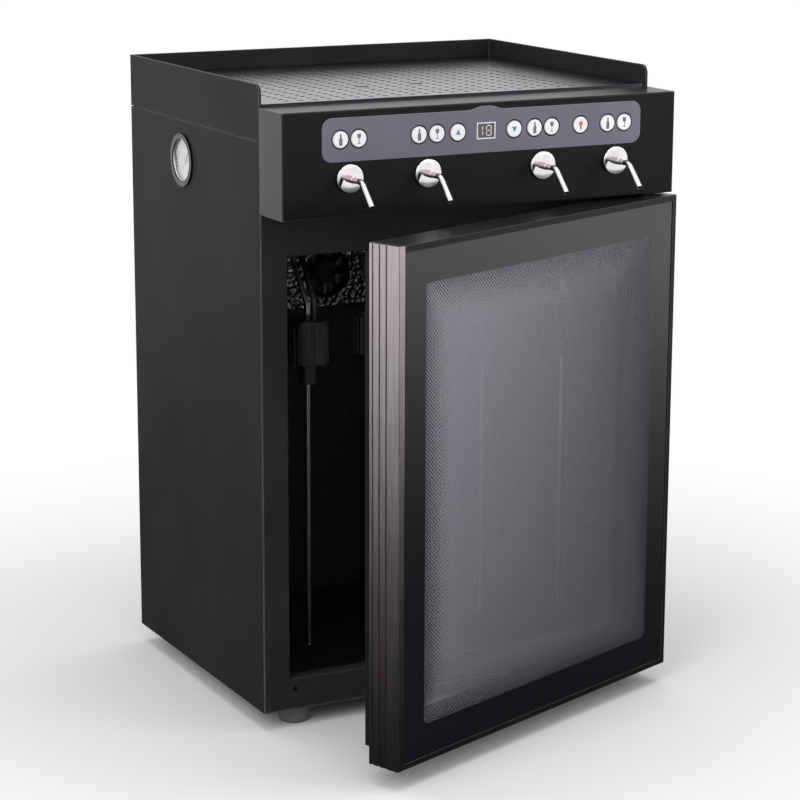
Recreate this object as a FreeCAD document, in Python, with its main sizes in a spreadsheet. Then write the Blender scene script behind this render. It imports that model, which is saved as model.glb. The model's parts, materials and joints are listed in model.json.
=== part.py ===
"""Wine preservation dispenser: a chilled cabinet for bottles, with a tap console above its glass door.

Frame: +Z up, -Y is the front, X = 0 and Y = 0 are the middle of the cabinet's plan, and Z = 0 is the
surface that the four feet stand on. Millimetres throughout. The door stands ajar, as it is photographed.
"""

import FreeCAD, Part
import math
import os
import re

doc = FreeCAD.newDocument("wine_dispenser")

# Driving sizes: one row each, in millimetres or degrees

SIZES = [
    # Cabinet
    ("width", 450, "cabinet, over the side panels"),
    ("depth", 340, "cabinet without the console"),
    ("foot_height", 20, "floor to base plate"),
    ("bay_height", 522, "base plate to the underside of the console"),
    ("console_height", 105.5, "console, underside to deck"),
    ("console_reach", 53, "how far the console stands out over the door"),
    ("skirt_height", 32.5, "hood below the deck"),
    ("gallery_height", 22.5, "hood rail above the deck"),
    ("gallery_corner", 9, "radius of the rail's front corners"),
    ("sheet", 1.2, "steel panels"),
    ("hood_sheet", 2.4, "hood metal, folded double at the rail"),
    ("seam_gap", 1, "between hood and side panels"),
    ("joggle_height", 14, "lip of a side panel inside the hood"),
    # Front frame and lined compartment
    ("stile_width", 30, "cabinet side to door opening"),
    ("sill_height", 34, "base plate to door opening"),
    ("header_height", 45, "door opening to console"),
    ("frame_thickness", 14, "moulded front frame"),
    ("frame_round", 2.5, "rounding of the frame's opening"),
    ("liner_wall", 2, "moulded liner"),
    ("foam_top", 20, "insulation over the liner"),
    ("foam_rear", 18, "insulation behind the liner"),
    # Feet
    ("foot_radius", 16, "moulded foot"),
    ("foot_inset_side", 45, "cabinet side to foot axis"),
    ("foot_inset_front", 25, "front plane to front foot axis"),
    ("foot_inset_rear", 30, "rear plane to rear foot axis"),
    ("foot_round", 3, "rounding of the foot's sole"),
    # Console
    ("console_wall", 2.5, "moulded console shell"),
    ("console_round", 1.5, "rounding of the console's edges"),
    ("overlay_inset", 42.5, "console's end to the keypad overlay"),
    ("overlay_low", 55, "overlay's lower edge above the console's underside"),
    ("overlay_high", 98.3, "overlay's upper edge above the console's underside"),
    ("overlay_round", 10.5, "overlay's corner radius"),
    ("overlay_skin", 0.6, "overlay thickness"),
    ("hump_rise", 3.6, "overlay's raised middle"),
    ("hump_half_top", 9.5, "flat of the raised middle"),
    ("hump_half_base", 18, "foot of the raised middle"),
    ("button_radius", 8.2, "button cap"),
    ("button_height", 77, "button axes above the console's underside"),
    ("button_proud", 0.9, "cap beyond the overlay"),
    ("button_gap", 0.25, "round a cap, in the overlay and shell"),
    ("button_flange", 1.5, "retaining flange beyond the cap's radius"),
    ("button_flange_depth", 1.4, "retaining flange"),
    ("button_travel", 0.8, "stroke of a button"),
    ("pair_half", 10, "bottle or glass button from its tap's centre line"),
    ("arrow_offset", 32.3, "temperature buttons from the middle"),
    ("lamp_button_lead", 42.4, "lamp button to the outer right tap's centre line"),
    ("display_half_width", 10.8, "display window"),
    ("display_height", 17, "display window"),
    ("board_setback", 7.4, "shell's inner face to the board"),
    ("board_thickness", 1.6, "circuit board"),
    ("board_margin", 2, "overlay outline to board outline"),
    ("switch_side", 6, "key switch"),
    ("boss_radius", 3, "board boss"),
    # Taps
    ("tap_inset", 72.3, "console's ends to the outer taps"),
    ("tap_inner", 66, "inner taps from the middle"),
    ("tap_height", 38, "tap axes above the console's underside"),
    ("spout_radius", 3, "spout tube"),
    ("spout_wall", 0.8, "spout tube wall"),
    ("spout_straight", 22, "spout from the console to its bend"),
    ("spout_bend", 12, "centre line radius of the bend"),
    ("spout_turn", 45, "turn of the spout"),
    ("spout_drop", 22, "tap axis to the spout's mouth"),
    ("spout_tail", 14, "spout behind the console's front wall"),
    ("escutcheon_radius", 14.6, "disc round a spout"),
    ("escutcheon_rise", 5, "dome of the disc"),
    ("escutcheon_rim", 1.4, "flat rim of the disc"),
    ("nut_across", 10, "hexagon nut on a spout"),
    ("nut_height", 4, "hexagon nut on a spout"),
    # Bottle stoppers and tubes
    ("outer_station", 45, "outer bottles' axes behind the front plane"),
    ("inner_station", 66, "inner bottles' axes behind the front plane"),
    ("stopper_seat", 357, "bottle mouth above the base plate"),
    ("stopper_radius", 22, "ribbed cap of a stopper"),
    ("stopper_height", 45, "ribbed cap of a stopper"),
    ("stopper_ribs", 24, "grip ribs round a cap"),
    ("plug_radius", 9.1, "plug that fits a bottle's bore"),
    ("plug_length", 22, "plug that fits a bottle's bore"),
    ("notch_radius", 1.3, "groove between the grip ribs"),
    ("barb_length", 6, "hose barb on a stopper"),
    ("dip_radius", 3, "rigid tube into the bottle"),
    ("dip_grip", 5, "rigid tube inside the stopper's cap"),
    ("dip_clearance", 18, "dip tube's end above the compartment's floor"),
    ("hose_radius", 3, "wine and gas hoses"),
    ("hose_wall", 1, "wine and gas hoses"),
    ("hose_offset", 8, "gas hose from the stopper's axis"),
    ("wine_port_setback", 24, "stopper's axis to its wine hose's port in the ceiling"),
    ("gas_port_setback", 30, "stopper's axis to its gas hose's port in the ceiling"),
    ("port_clearance", 0.3, "round a hose in the liner and foam"),
    # Cooling
    ("cover_depth", 34, "fan cover, out from the rear wall"),
    ("cover_sheet", 1, "fan cover"),
    ("cover_gap", 11, "side wall of the compartment to the fan cover"),
    ("cover_height", 105, "fan cover, down from the ceiling"),
    ("cover_slot_pitch", 40, "between the return slots in the cover's underside"),
    ("cover_slot_length", 20, "return slot"),
    ("cover_slot_width", 6, "return slot"),
    ("fan_centre_drop", 67, "ceiling to the fan axes"),
    ("fan_pitch", 72, "between the two inner fans"),
    ("fan_side", 60, "inner fan frame"),
    ("fan_depth", 15, "inner fan frame"),
    ("fan_bore", 28.3, "inner fan opening radius"),
    ("rear_fan_side", 92, "rear fan frame"),
    ("rear_fan_depth", 20, "rear fan frame"),
    ("rear_fan_bore", 43.5, "rear fan opening radius"),
    ("fan_hub_radius", 12.5, "hub of an inner fan"),
    ("rear_hub_radius", 17, "hub of the rear fan"),
    ("fan_arm_width", 3, "arm that carries a fan's motor"),
    ("fan_arm_depth", 2.5, "arm that carries a fan's motor"),
    ("blade_count", 7, "blades on each rotor"),
    ("blade_thickness", 1.2, "rotor blade"),
    ("blade_pitch", 38, "blade angle"),
    ("blade_tip_gap", 1.2, "rotor to frame"),
    ("rear_slot_length", 76, "air slot in the rear panel"),
    ("rear_slot_width", 6, "air slot in the rear panel"),
    ("rear_slot_run", 70, "lowest to highest air slot"),
    ("rotor_setback", 0.8, "frame's front face to the rotor"),
    ("shaft_radius", 1.5, "fan shafts"),
    ("running_clearance", 0.05, "shaft or pin in its bearing"),
    ("cold_sink_half_width", 78, "cold sink"),
    ("cold_sink_height", 72, "cold sink"),
    ("cold_sink_depth", 15, "cold sink with its fins"),
    ("sink_base", 5, "plate of a heat sink"),
    ("fin_thickness", 1.2, "heat sink fin"),
    ("fin_pitch", 7.5, "heat sink fins"),
    ("block_side", 44, "cold block through the insulation"),
    ("block_clearance", 1, "round a cold block"),
    ("module_side", 40, "thermoelectric module"),
    ("module_thickness", 4, "thermoelectric module"),
    ("hot_sink_half_width", 80, "hot sink"),
    ("hot_sink_height", 110, "hot sink"),
    ("hot_sink_depth", 22, "hot sink with its fins"),
    ("rear_gap", 4, "rear fan to the rear plane"),
    # Gas side
    ("gauge_setback", 197, "front plane to the gauge's axis"),
    ("gauge_drop", 43, "hood's lower edge to the gauge's axis"),
    ("gauge_radius", 24, "gauge case"),
    ("gauge_depth", 26, "gauge case"),
    ("gauge_wall", 1.4, "gauge case"),
    ("bezel_radius", 28, "gauge bezel"),
    ("bezel_proud", 2, "bezel beyond the side panel"),
    ("dial_setback", 7, "side panel's face to the dial"),
    ("lens_thickness", 1.5, "gauge glass"),
    ("needle_length", 17, "gauge pointer"),
    ("needle_angle", 35, "pointer from upright, towards the front"),
    ("manifold_inset", 26, "insulation's rear face to the manifold's front face"),
    ("manifold_half_width", 110, "manifold"),
    ("manifold_side", 24, "manifold"),
    ("valve_pitch", 52, "between solenoid valves"),
    ("valve_side", 22, "solenoid valve coil"),
    ("valve_height", 40, "solenoid valve"),
    ("inlet_inset", 65, "left side to the gas inlet"),
    ("inlet_height", 560, "gas inlet above the base plate"),
    ("inlet_bore", 3.05, "push-in bore for a 6 mm gas tube"),
    ("inlet_bore_depth", 16, "push-in bore"),
    ("inlet_proud", 14, "gas inlet behind the rear panel"),
    ("inlet_radius", 6.5, "gas inlet body"),
    # Power
    ("supply_inset", 95, "right side to the power supply's middle"),
    ("supply_width", 100, "power supply"),
    ("supply_depth", 36, "power supply"),
    ("supply_height", 150, "power supply"),
    ("socket_inset", 95, "left side to the mains inlet"),
    ("socket_height", 70, "mains inlet above the base plate"),
    ("lamp_half_width", 40, "compartment lamp"),
    ("lamp_drop", 7, "compartment lamp below the ceiling"),
    # Door
    ("door_width", 442, "door"),
    ("door_thickness", 38.5, "door without its gasket"),
    ("door_proud", 1, "closed door beyond the console's face"),
    ("door_angle", 21.4, "how far the door stands open"),
    ("hinge_inset", 7, "hinge side to the hinge axis"),
    ("hinge_setback", 22, "door's face to the hinge axis"),
    ("pin_radius", 3, "hinge pin"),
    ("pin_length", 10, "hinge pin in the door"),
    ("bush_wall", 1.5, "hinge bush"),
    ("bush_flange", 1, "flange of a hinge bush"),
    ("bush_gap", 0.3, "bush flange to bracket"),
    ("bracket_sheet", 2.2, "hinge bracket"),
    ("bracket_width", 27, "hinge bracket"),
    ("bracket_edge", 1, "cabinet side to bracket"),
    ("bracket_nose", 8, "hinge axis to the bracket's front edge"),
    ("bracket_screw_first", 3, "hinge axis to the nearer screw"),
    ("bracket_screw_pitch", 12, "between a bracket's screws"),
    ("bracket_screw_setback", 12, "lower bracket's rear edge to its screws"),
    ("bracket_lug", 12, "upper bracket's lug on the front frame"),
    ("bracket_grip", 40, "lower bracket under the base plate"),
    ("door_rim", 6, "door frame in front of the glass"),
    ("door_ledge", 28, "door frame behind the glass"),
    ("glass_inset", 0.8, "glass below the door's face"),
    ("glass_gap", 0.6, "round the glass"),
    ("handle_width", 8, "handle rail, seen from the front"),
    ("handle_round", 1.5, "rounding of the handle rail"),
    ("outer_glass", 4, "front pane"),
    ("glass_spacer", 8, "between the panes"),
    ("inner_glass", 4, "rear pane"),
    ("spacer_width", 8, "spacer bar between the panes"),
    ("spacer_inset", 4, "spacer bar from the glass edge"),
    ("gasket_inset", 12, "door edge to gasket"),
    ("gasket_width", 16, "gasket"),
    ("gasket_gap", 0.5, "closed gasket to cabinet"),
    ("flute_width", 2, "groove in the handle rail"),
    ("flute_depth", 2, "groove in the handle rail"),
    ("flute_first", 5, "first groove from the door's back"),
    ("flute_pitch", 8.6, "between grooves"),
    # Drip tray
    ("tray_height", 3, "drip tray above the deck"),
    ("tray_seat", 0.2, "drip tray's edge to the deck"),
    ("tray_sheet", 1, "drip tray"),
    ("tray_margin", 2, "drip tray to the hood's rail"),
    ("tray_setback", 2, "drip tray behind the front plane"),
    ("hole_radius", 3, "drain hole"),
    ("hole_pitch", 15, "drain holes"),
    ("hole_columns", 25, "drain holes across"),
    ("hole_rows", 20, "drain holes front to back"),
    ("hole_first", 22, "front plane to the first drain holes"),
    ("grip_radius", 4, "finger slot end radius"),
    ("grip_length", 18, "finger slot"),
    ("grip_setback", 124, "front plane to the finger slots"),
    ("grip_pitch", 60, "between the finger slots"),
    # Fasteners
    ("screw_radius", 1.5, "screw shank"),
    ("screw_head", 3, "screw head radius"),
    ("screw_head_height", 1.8, "screw head"),
    ("screw_length", 7, "screw shank"),
    ("flange_width", 12, "rear flange of a side panel"),
    ("flange_screw_pitch", 250, "between the rear panel's screws"),
    ("flange_screw_first", 40, "base plate to the lowest rear screw"),
    ("frame_screw_offset", 189.6, "front frame's screws from the middle"),
    ("frame_screw_height", 22.3, "base plate to the front frame's screws"),
    ("foot_recess", 9, "screw recess in a foot's sole"),
]
ALIASES = {alias for alias, _, _ in SIZES}

# Places worked out from the driving sizes

PLACES = {
    "LEFT": "(-width / 2)",
    "RIGHT": "(width / 2)",
    "FRONT": "(-depth / 2)",
    "REAR": "(depth / 2)",
    "BASE": "foot_height",
    "CONSOLE_LOW": "(foot_height + bay_height)",
    "CONSOLE_FRONT": "(FRONT - console_reach)",
    "DECK": "(CONSOLE_LOW + console_height)",
    "SEAM": "(DECK - skirt_height)",
    "RIM": "(DECK + gallery_height)",
    "PANEL_TOP": "(SEAM - seam_gap)",
    "OPEN_LEFT": "(LEFT + stile_width)",
    "OPEN_RIGHT": "(RIGHT - stile_width)",
    "OPEN_LOW": "(BASE + sill_height)",
    "OPEN_TOP": "(CONSOLE_LOW - header_height)",
    "FRAME_BACK": "(FRONT + frame_thickness)",
    "REAR_FAN_FRONT": "(REAR - rear_gap - rear_fan_depth)",
    "FOAM_BACK": "(REAR_FAN_FRONT - hot_sink_depth)",
    "LINER_BACK": "(FOAM_BACK - foam_rear - liner_wall)",
    "FOAM_TOP": "(OPEN_TOP + liner_wall + foam_top)",
    "OVERLAY_SIDE": "(RIGHT - overlay_inset)",
    "TAP_OUTER": "(RIGHT - tap_inset)",
    "BUTTON_Z": "(CONSOLE_LOW + button_height)",
    "TAP_Z": "(CONSOLE_LOW + tap_height)",
    "SHELL_BACK": "(CONSOLE_FRONT + console_wall)",
    "BOARD_FRONT": "(SHELL_BACK + board_setback)",
    "FLANGE_FRONT": "(SHELL_BACK + button_gap)",
    "FAN_Z": "(OPEN_TOP - fan_centre_drop)",
    "COVER_Y": "(LINER_BACK - cover_depth)",
    "COVER_SIDE": "(OPEN_RIGHT - cover_gap)",
    "FAN_FRONT": "(COVER_Y + cover_sheet)",
    "GAUGE_Y": "(FRONT + gauge_setback)",
    "GAUGE_Z": "(SEAM - gauge_drop)",
    "STOPPER_Z": "(BASE + stopper_seat)",
    "STOPPER_TOP": "(STOPPER_Z + stopper_height)",
    "DOOR_FRONT": "(CONSOLE_FRONT - door_proud)",
    "DOOR_BACK": "(DOOR_FRONT + door_thickness)",
    "DOOR_LOW": "(BASE + bush_flange + bush_gap)",
    "DOOR_TOP": "(CONSOLE_LOW - bracket_sheet - bush_flange - bush_gap)",
    "DOOR_FREE": "(RIGHT - door_width)",
    "FRAME_FREE": "(DOOR_FREE + handle_width)",
    "HINGE_X": "(RIGHT - hinge_inset)",
    "HINGE_Y": "(DOOR_FRONT + hinge_setback)",
    "GLASS_FRONT": "(DOOR_FRONT + glass_inset)",
    "GLASS_BACK": "(GLASS_FRONT + outer_glass + glass_spacer + inner_glass)",
    "GLASS_EDGE": "(door_rim + glass_gap)",
    "TRAY_TOP": "(DECK + tray_height)",
    "MANIFOLD_Y": "(FOAM_BACK - manifold_inset)",
    "INLET_X": "(LEFT + inlet_inset)",
    "INLET_Z": "(BASE + inlet_height)",
    "SOCKET_X": "(LEFT + socket_inset)",
    "SOCKET_Z": "(BASE + socket_height)",
    "SUPPLY_X": "(RIGHT - supply_inset)",
}

sheet = doc.addObject("Spreadsheet::Sheet", "Sizes")
for row, (alias, value, note) in enumerate(SIZES, 1):
    sheet.set(f"A{row}", note)
    sheet.set(f"B{row}", str(value))
    sheet.setAlias(f"B{row}", alias)
doc.recompute()


# Helpers


def formula(text):
    """Spell out place names and point size names at the sheet."""

    def word(match):
        name = match.group()
        if name in PLACES:
            return formula(PLACES[name])
        return f"Sizes.{name}" if name in ALIASES else name

    return re.sub(r"[A-Za-z_]+", word, str(text))


def num(text):
    """The present value of a formula."""
    value = sheet.evalExpression(formula(text))
    return float(getattr(value, "Value", value))


def vec(x, y, z):
    return FreeCAD.Vector(num(x), num(y), num(z))


def bind(thing, **formulas):
    for name, text in formulas.items():
        thing.setExpression(name, formula(text))
    return thing


def place(thing, x, y, z):
    for axis, text in zip("xyz", (x, y, z)):
        thing.setExpression(f"Placement.Base.{axis}", formula(text))
    return thing


def block(name, x, y, z):
    """A box between two formulas along each axis."""
    made = doc.addObject("Part::Box", name)
    bind(made, Length=f"({x[1]}) - ({x[0]})", Width=f"({y[1]}) - ({y[0]})", Height=f"({z[1]}) - ({z[0]})")
    return place(made, x[0], y[0], z[0])


TURNS = {
    "Z": FreeCAD.Rotation(),
    "X": FreeCAD.Rotation(FreeCAD.Vector(0, 1, 0), 90),
    "Y": FreeCAD.Rotation(FreeCAD.Vector(1, 0, 0), -90),
}


def rod(name, axis, at, radius, length):
    """A cylinder from a point along an axis."""
    made = doc.addObject("Part::Cylinder", name)
    made.Placement = FreeCAD.Placement(FreeCAD.Vector(), TURNS[axis])
    bind(made, Radius=radius, Height=length)
    return place(made, *at)


def prism(name, axis, at, across, length):
    """A hexagonal bar from a point along an axis."""
    made = doc.addObject("Part::Prism", name)
    made.Polygon = 6
    made.Placement = FreeCAD.Placement(FreeCAD.Vector(), TURNS[axis])
    bind(made, Circumradius=f"({across}) / 2 / cos(30 deg)", Height=length)
    return place(made, *at)


def fuse(name, *things):
    made = doc.addObject("Part::MultiFuse", name)
    made.Shapes = list(things)
    return made


def group(name, *things):
    """Separate solids that share a node."""
    made = doc.addObject("Part::Compound", name)
    made.Links = list(things)
    return made


def cut(name, body, *tools):
    made = doc.addObject("Part::Cut", name)
    made.Base = body
    made.Tool = tools[0] if len(tools) == 1 else fuse(f"{name}_tools", *tools)
    return made


def feature(name, shape):
    made = doc.addObject("Part::Feature", name)
    made.Shape = shape
    return made


def edge_names(shape, test):
    return [f"Edge{i}" for i, edge in enumerate(shape.Edges, 1) if test(edge)]


def along(axis):
    """A test for straight edges along an axis."""
    want = FreeCAD.Vector(*[float(axis == letter) for letter in "XYZ"])

    def test(edge):
        ends = edge.Vertexes
        if len(ends) != 2 or not isinstance(edge.Curve, Part.Line):
            return False
        return abs(abs((ends[1].Point - ends[0].Point).normalize() * want) - 1) < 1e-6

    return test


NODES = {}


def node(label, thing):
    """Keep an object as a sub-part under its own name."""
    thing.Label = label
    NODES[label] = thing
    return thing


# PartDesign helpers


def body(name):
    return doc.addObject("PartDesign::Body", f"{name}_body")


def sketch(owner, name, role, **offset):
    """A sketch on an origin plane, moved along the plane's own axes by formulas."""
    made = owner.newObject("Sketcher::SketchObject", name)
    plane = next(f for f in owner.Origin.OriginFeatures if f.Role == role)
    made.AttachmentSupport = (plane, [""])
    made.MapMode = "FlatFace"
    for axis, text in offset.items():
        made.setExpression(f"AttachmentOffset.Base.{axis}", formula(text))
    return made


def limit(made, name, constraint, text):
    """A named dimension that follows a formula."""
    index = made.addConstraint(constraint)
    made.renameConstraint(index, name)
    made.setExpression(f"Constraints.{name}", formula(text))


def rectangle(made, wide, tall):
    """A rectangle from the sketch's own origin, closed and dimensioned."""
    width, height = num(wide), num(tall)
    corners = [
        FreeCAD.Vector(0, 0, 0),
        FreeCAD.Vector(width, 0, 0),
        FreeCAD.Vector(width, height, 0),
        FreeCAD.Vector(0, height, 0),
    ]
    first = made.GeometryCount
    for i in range(4):
        made.addGeometry(Part.LineSegment(corners[i], corners[(i + 1) % 4]), False)
    for i in range(4):
        made.addConstraint(Sketch("Coincident", first + i, 2, first + (i + 1) % 4, 1))
        made.addConstraint(Sketch("Vertical" if i % 2 else "Horizontal", first + i))
    made.addConstraint(Sketch("Coincident", first, 1, -1, 1))
    limit(made, "wide", Sketch("DistanceX", first, 1, first, 2, width), wide)
    limit(made, "tall", Sketch("DistanceY", first + 1, 1, first + 1, 2, height), tall)
    return made


def circle(made, radius, x="0", y="0", name="bore"):
    """A dimensioned circle; its centre stands to the right of and above the sketch's origin."""
    centre = FreeCAD.Vector(num(x), num(y), 0)
    index = made.addGeometry(Part.Circle(centre, FreeCAD.Vector(0, 0, 1), num(radius)), False)
    if centre.Length < 1e-9:
        made.addConstraint(Sketch("Coincident", index, 3, -1, 1))
    else:
        limit(made, f"{name}_x", Sketch("DistanceX", -1, 1, index, 3, centre.x), x)
        limit(made, f"{name}_y", Sketch("DistanceY", -1, 1, index, 3, centre.y), y)
    limit(made, f"{name}_radius", Sketch("Radius", index, num(radius)), radius)
    return made


def outline(made, points):
    """A closed run of straight lines through formula points, each held by its own dimensions."""
    spots = [FreeCAD.Vector(num(x), num(y), 0) for x, y in points]
    count = len(spots)
    first = made.GeometryCount
    for i in range(count):
        made.addGeometry(Part.LineSegment(spots[i], spots[(i + 1) % count]), False)
    for i in range(count):
        made.addConstraint(Sketch("Coincident", first + i, 2, first + (i + 1) % count, 1))
        for kind, text, value, own_axis in (
            ("DistanceX", points[i][0], spots[i].x, -2),
            ("DistanceY", points[i][1], spots[i].y, -1),
        ):
            if abs(value) < 1e-9:
                made.addConstraint(Sketch("PointOnObject", first + i, 1, own_axis))
            else:
                name = f"{kind[-1].lower()}_{first + i}"
                limit(made, name, Sketch(kind, -1, 1, first + i, 1, value), text)
    return made


def pad(owner, name, profile, length, reverse=False, midplane=False):
    made = owner.newObject("PartDesign::Pad", name)
    made.Profile = profile
    made.Reversed = reverse
    if midplane:
        made.SideType = "Symmetric"
    bind(made, Length=length)
    doc.recompute()
    return made


def pocket(owner, name, profile, length, reverse=False):
    """A pocket that has to take material away."""
    before = owner.Shape.Volume
    made = owner.newObject("PartDesign::Pocket", name)
    made.Profile = profile
    made.Reversed = reverse
    bind(made, Length=length)
    doc.recompute()
    if not owner.Shape.Volume < before:
        raise RuntimeError(f"{name} cuts nothing")
    return made


def turned(owner, name, profile, axis="V_Axis"):
    made = owner.newObject("PartDesign::Revolution", name)
    made.Profile = profile
    made.ReferenceAxis = (profile, [axis])
    made.Angle = 360
    doc.recompute()
    return made


def rounded(owner, name, radius, test):
    """A fillet on the chosen edges of the body so far."""
    base = owner.Tip
    names = edge_names(base.Shape, test)
    if not names:
        raise RuntimeError(f"{name} finds no edge")
    made = owner.newObject("PartDesign::Fillet", name)
    made.Base = (base, names)
    bind(made, Radius=radius)
    doc.recompute()
    return made


def copies(name, source, spots):
    """The same piece at several places, as separate solids."""
    doc.recompute()
    shapes = []
    for spot in spots:
        shape = source.Shape.copy()
        shape.translate(spot)
        shapes.append(shape)
    return feature(name, Part.makeCompound(shapes))


def route(points, bend):
    """Straight runs through the points, joined by tangent arcs."""
    edges = []
    start = points[0]
    for before, corner, after in zip(points, points[1:], points[2:]):
        back = (before - corner).normalize()
        ahead = (after - corner).normalize()
        half = math.acos(max(-1, min(1, -(back * ahead)))) / 2
        reach = bend * math.tan(half)
        reach = min(reach, 0.45 * (before - corner).Length, 0.45 * (after - corner).Length)
        radius = reach / math.tan(half)
        entry = corner + back * reach
        leave = corner + ahead * reach
        inward = (back + ahead).normalize()
        middle = corner + inward * (math.hypot(reach, radius) - radius)
        edges.append(Part.LineSegment(start, entry).toShape())
        edges.append(Part.Arc(entry, middle, leave).toShape())
        start = leave
    edges.append(Part.LineSegment(start, points[-1]).toShape())
    return Part.Wire(edges)


def bar_along(path, radius):
    """A round bar swept along a path."""
    first = path.Edges[0]
    start, direction = first.valueAt(first.FirstParameter), first.tangentAt(first.FirstParameter)
    ring = Part.Wire([Part.Circle(start, direction, radius).toShape()])
    made = path.makePipeShell([ring], True, True)
    expected = math.pi * radius**2 * path.Length
    if abs(made.Volume - expected) > 0.02 * expected:
        raise RuntimeError("a swept bar has the wrong volume")
    return made


def tube_along(points, bend, radius, wall):
    path = route(points, bend)
    return bar_along(path, radius).cut(bar_along(path, radius - wall))


def Sketch(*args):
    """A sketch constraint; the module loads only once a document holds a sketch."""
    import Sketcher

    return Sketcher.Constraint(*args)


# Cabinet shell


def base_plate():
    """Steel tray floor with a vent field at the back; the feet screw through its corners."""
    made = block(
        "base_sheet",
        ("LEFT + sheet", "RIGHT - sheet"),
        ("FRONT", "REAR - sheet"),
        ("BASE", "BASE + sheet"),
    )
    slots = [
        block(
            f"base_vent_{i}",
            (f"{-90 + 20 * i} - 4", f"{-90 + 20 * i} + 4"),
            ("FOAM_BACK + 6", "REAR - sheet - 8"),
            ("BASE - 1", "BASE + sheet + 1"),
        )
        for i in range(8)
    ]
    holes = [
        rod(f"base_screw_hole_{i}", "Z", (x, y, "BASE - 1"), "screw_radius", "sheet + 2")
        for i, (x, y) in enumerate(foot_spots() + bracket_spots())
    ]
    node("base_plate", cut("base_plate_cut", made, *slots, *holes))


def foot_spots():
    x = "(RIGHT - foot_inset_side)"
    rows = ("FRONT + foot_inset_front", "REAR - foot_inset_rear")
    return [(f"{side} * {x}", y) for y in rows for side in (-1, 1)]


def bracket_spots():
    y = "FRONT + bracket_grip - bracket_screw_setback"
    return [(x, y) for x in lug_spots()]


def flange_heights():
    return [f"BASE + flange_screw_first + {i} * flange_screw_pitch" for i in range(3)]


def side_panel(side, label, gauge):
    """Steel side with a joggled top lip that slips inside the hood."""
    inner, outer = (("LEFT", "LEFT + sheet") if side < 0 else ("RIGHT - sheet", "RIGHT"))
    lip_out = "LEFT + hood_sheet" if side < 0 else "RIGHT - hood_sheet - sheet"
    joint = ("LEFT", "LEFT + hood_sheet + sheet") if side < 0 else ("RIGHT - hood_sheet - sheet", "RIGHT")
    y = ("FRONT", "REAR")
    flat = block(f"{label}_flat", (inner, outer), y, ("BASE", "PANEL_TOP"))
    step = block(f"{label}_step", joint, ("FRONT + 8", "REAR - 8"), ("PANEL_TOP - sheet", "PANEL_TOP"))
    lip = block(
        f"{label}_lip",
        (lip_out, f"{lip_out} + sheet"),
        ("FRONT + 8", "REAR - 8"),
        ("PANEL_TOP - sheet", "PANEL_TOP + joggle_height"),
    )
    inside = ("LEFT", "LEFT + flange_width") if side < 0 else ("RIGHT - flange_width", "RIGHT")
    flange = block(
        f"{label}_flange",
        inside,
        ("REAR - 2 * sheet", "REAR - sheet"),
        ("BASE + sheet", "PANEL_TOP - sheet"),
    )
    whole = fuse(f"{label}_fused", flat, step, lip, flange)
    x = f"{side} * (RIGHT - flange_width / 2)"
    holes = [
        rod(f"{label}_hole_{i}", "Y", (x, "REAR - 4 * sheet", z), "screw_radius", "4 * sheet")
        for i, z in enumerate(flange_heights())
    ]
    made = cut(f"{label}_drilled", whole, *holes)
    if gauge:
        at = ("LEFT - 1", "GAUGE_Y", "GAUGE_Z")
        made = cut(f"{label}_cut", made, rod("gauge_hole", "X", at, "gauge_radius + 0.3", "sheet + 2"))
    node(label, made)


def rear_panel():
    """Steel back with slots behind the fan and holes for the mains and gas inlets."""
    owner = body("rear_panel")
    face = rectangle(
        sketch(owner, "rear_outline", "XZ_Plane", x="LEFT + sheet", y="BASE + sheet", z="-REAR"),
        "width - 2 * sheet",
        "PANEL_TOP - BASE - sheet",
    )
    pad(owner, "rear_sheet", face, "sheet", reverse=False)
    slot = rectangle(
        sketch(owner, "rear_slot", "XZ_Plane", x="-rear_slot_length / 2", y="FAN_Z - 38", z="-REAR"),
        "rear_slot_length",
        "rear_slot_width",
    )
    pocket(owner, "rear_slot_cut", slot, "3 * sheet", reverse=True)
    run = owner.newObject("PartDesign::LinearPattern", "rear_slots")
    run.Originals = [doc.getObject("rear_slot_cut")]
    run.Direction = (slot, ["V_Axis"])
    run.Occurrences = 7
    bind(run, Length="rear_slot_run")
    owner.Tip = run
    doc.recompute()
    mains = rectangle(
        sketch(
            owner,
            "mains_opening",
            "XZ_Plane",
            x="SOCKET_X - 14",
            y="SOCKET_Z - 10.5",
            z="-REAR",
        ),
        "28",
        "21",
    )
    pocket(owner, "mains_cut", mains, "3 * sheet", reverse=True)
    gas = circle(
        sketch(owner, "gas_opening", "XZ_Plane", x="INLET_X", y="INLET_Z", z="-REAR"),
        "inlet_radius - 1.5 + 0.1",
    )
    pocket(owner, "gas_cut", gas, "3 * sheet", reverse=True)
    screws = sketch(owner, "rear_screw_holes", "XZ_Plane", x="LEFT", y="BASE", z="-REAR")
    for i, z in enumerate(flange_heights()):
        for side, x in (("left", "flange_width / 2"), ("right", "width - flange_width / 2")):
            circle(screws, "screw_radius", x, f"{z} - BASE", f"{side}_{i}")
    pocket(owner, "rear_screw_cut", screws, "3 * sheet", reverse=True)
    node("rear_panel", owner)


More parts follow.
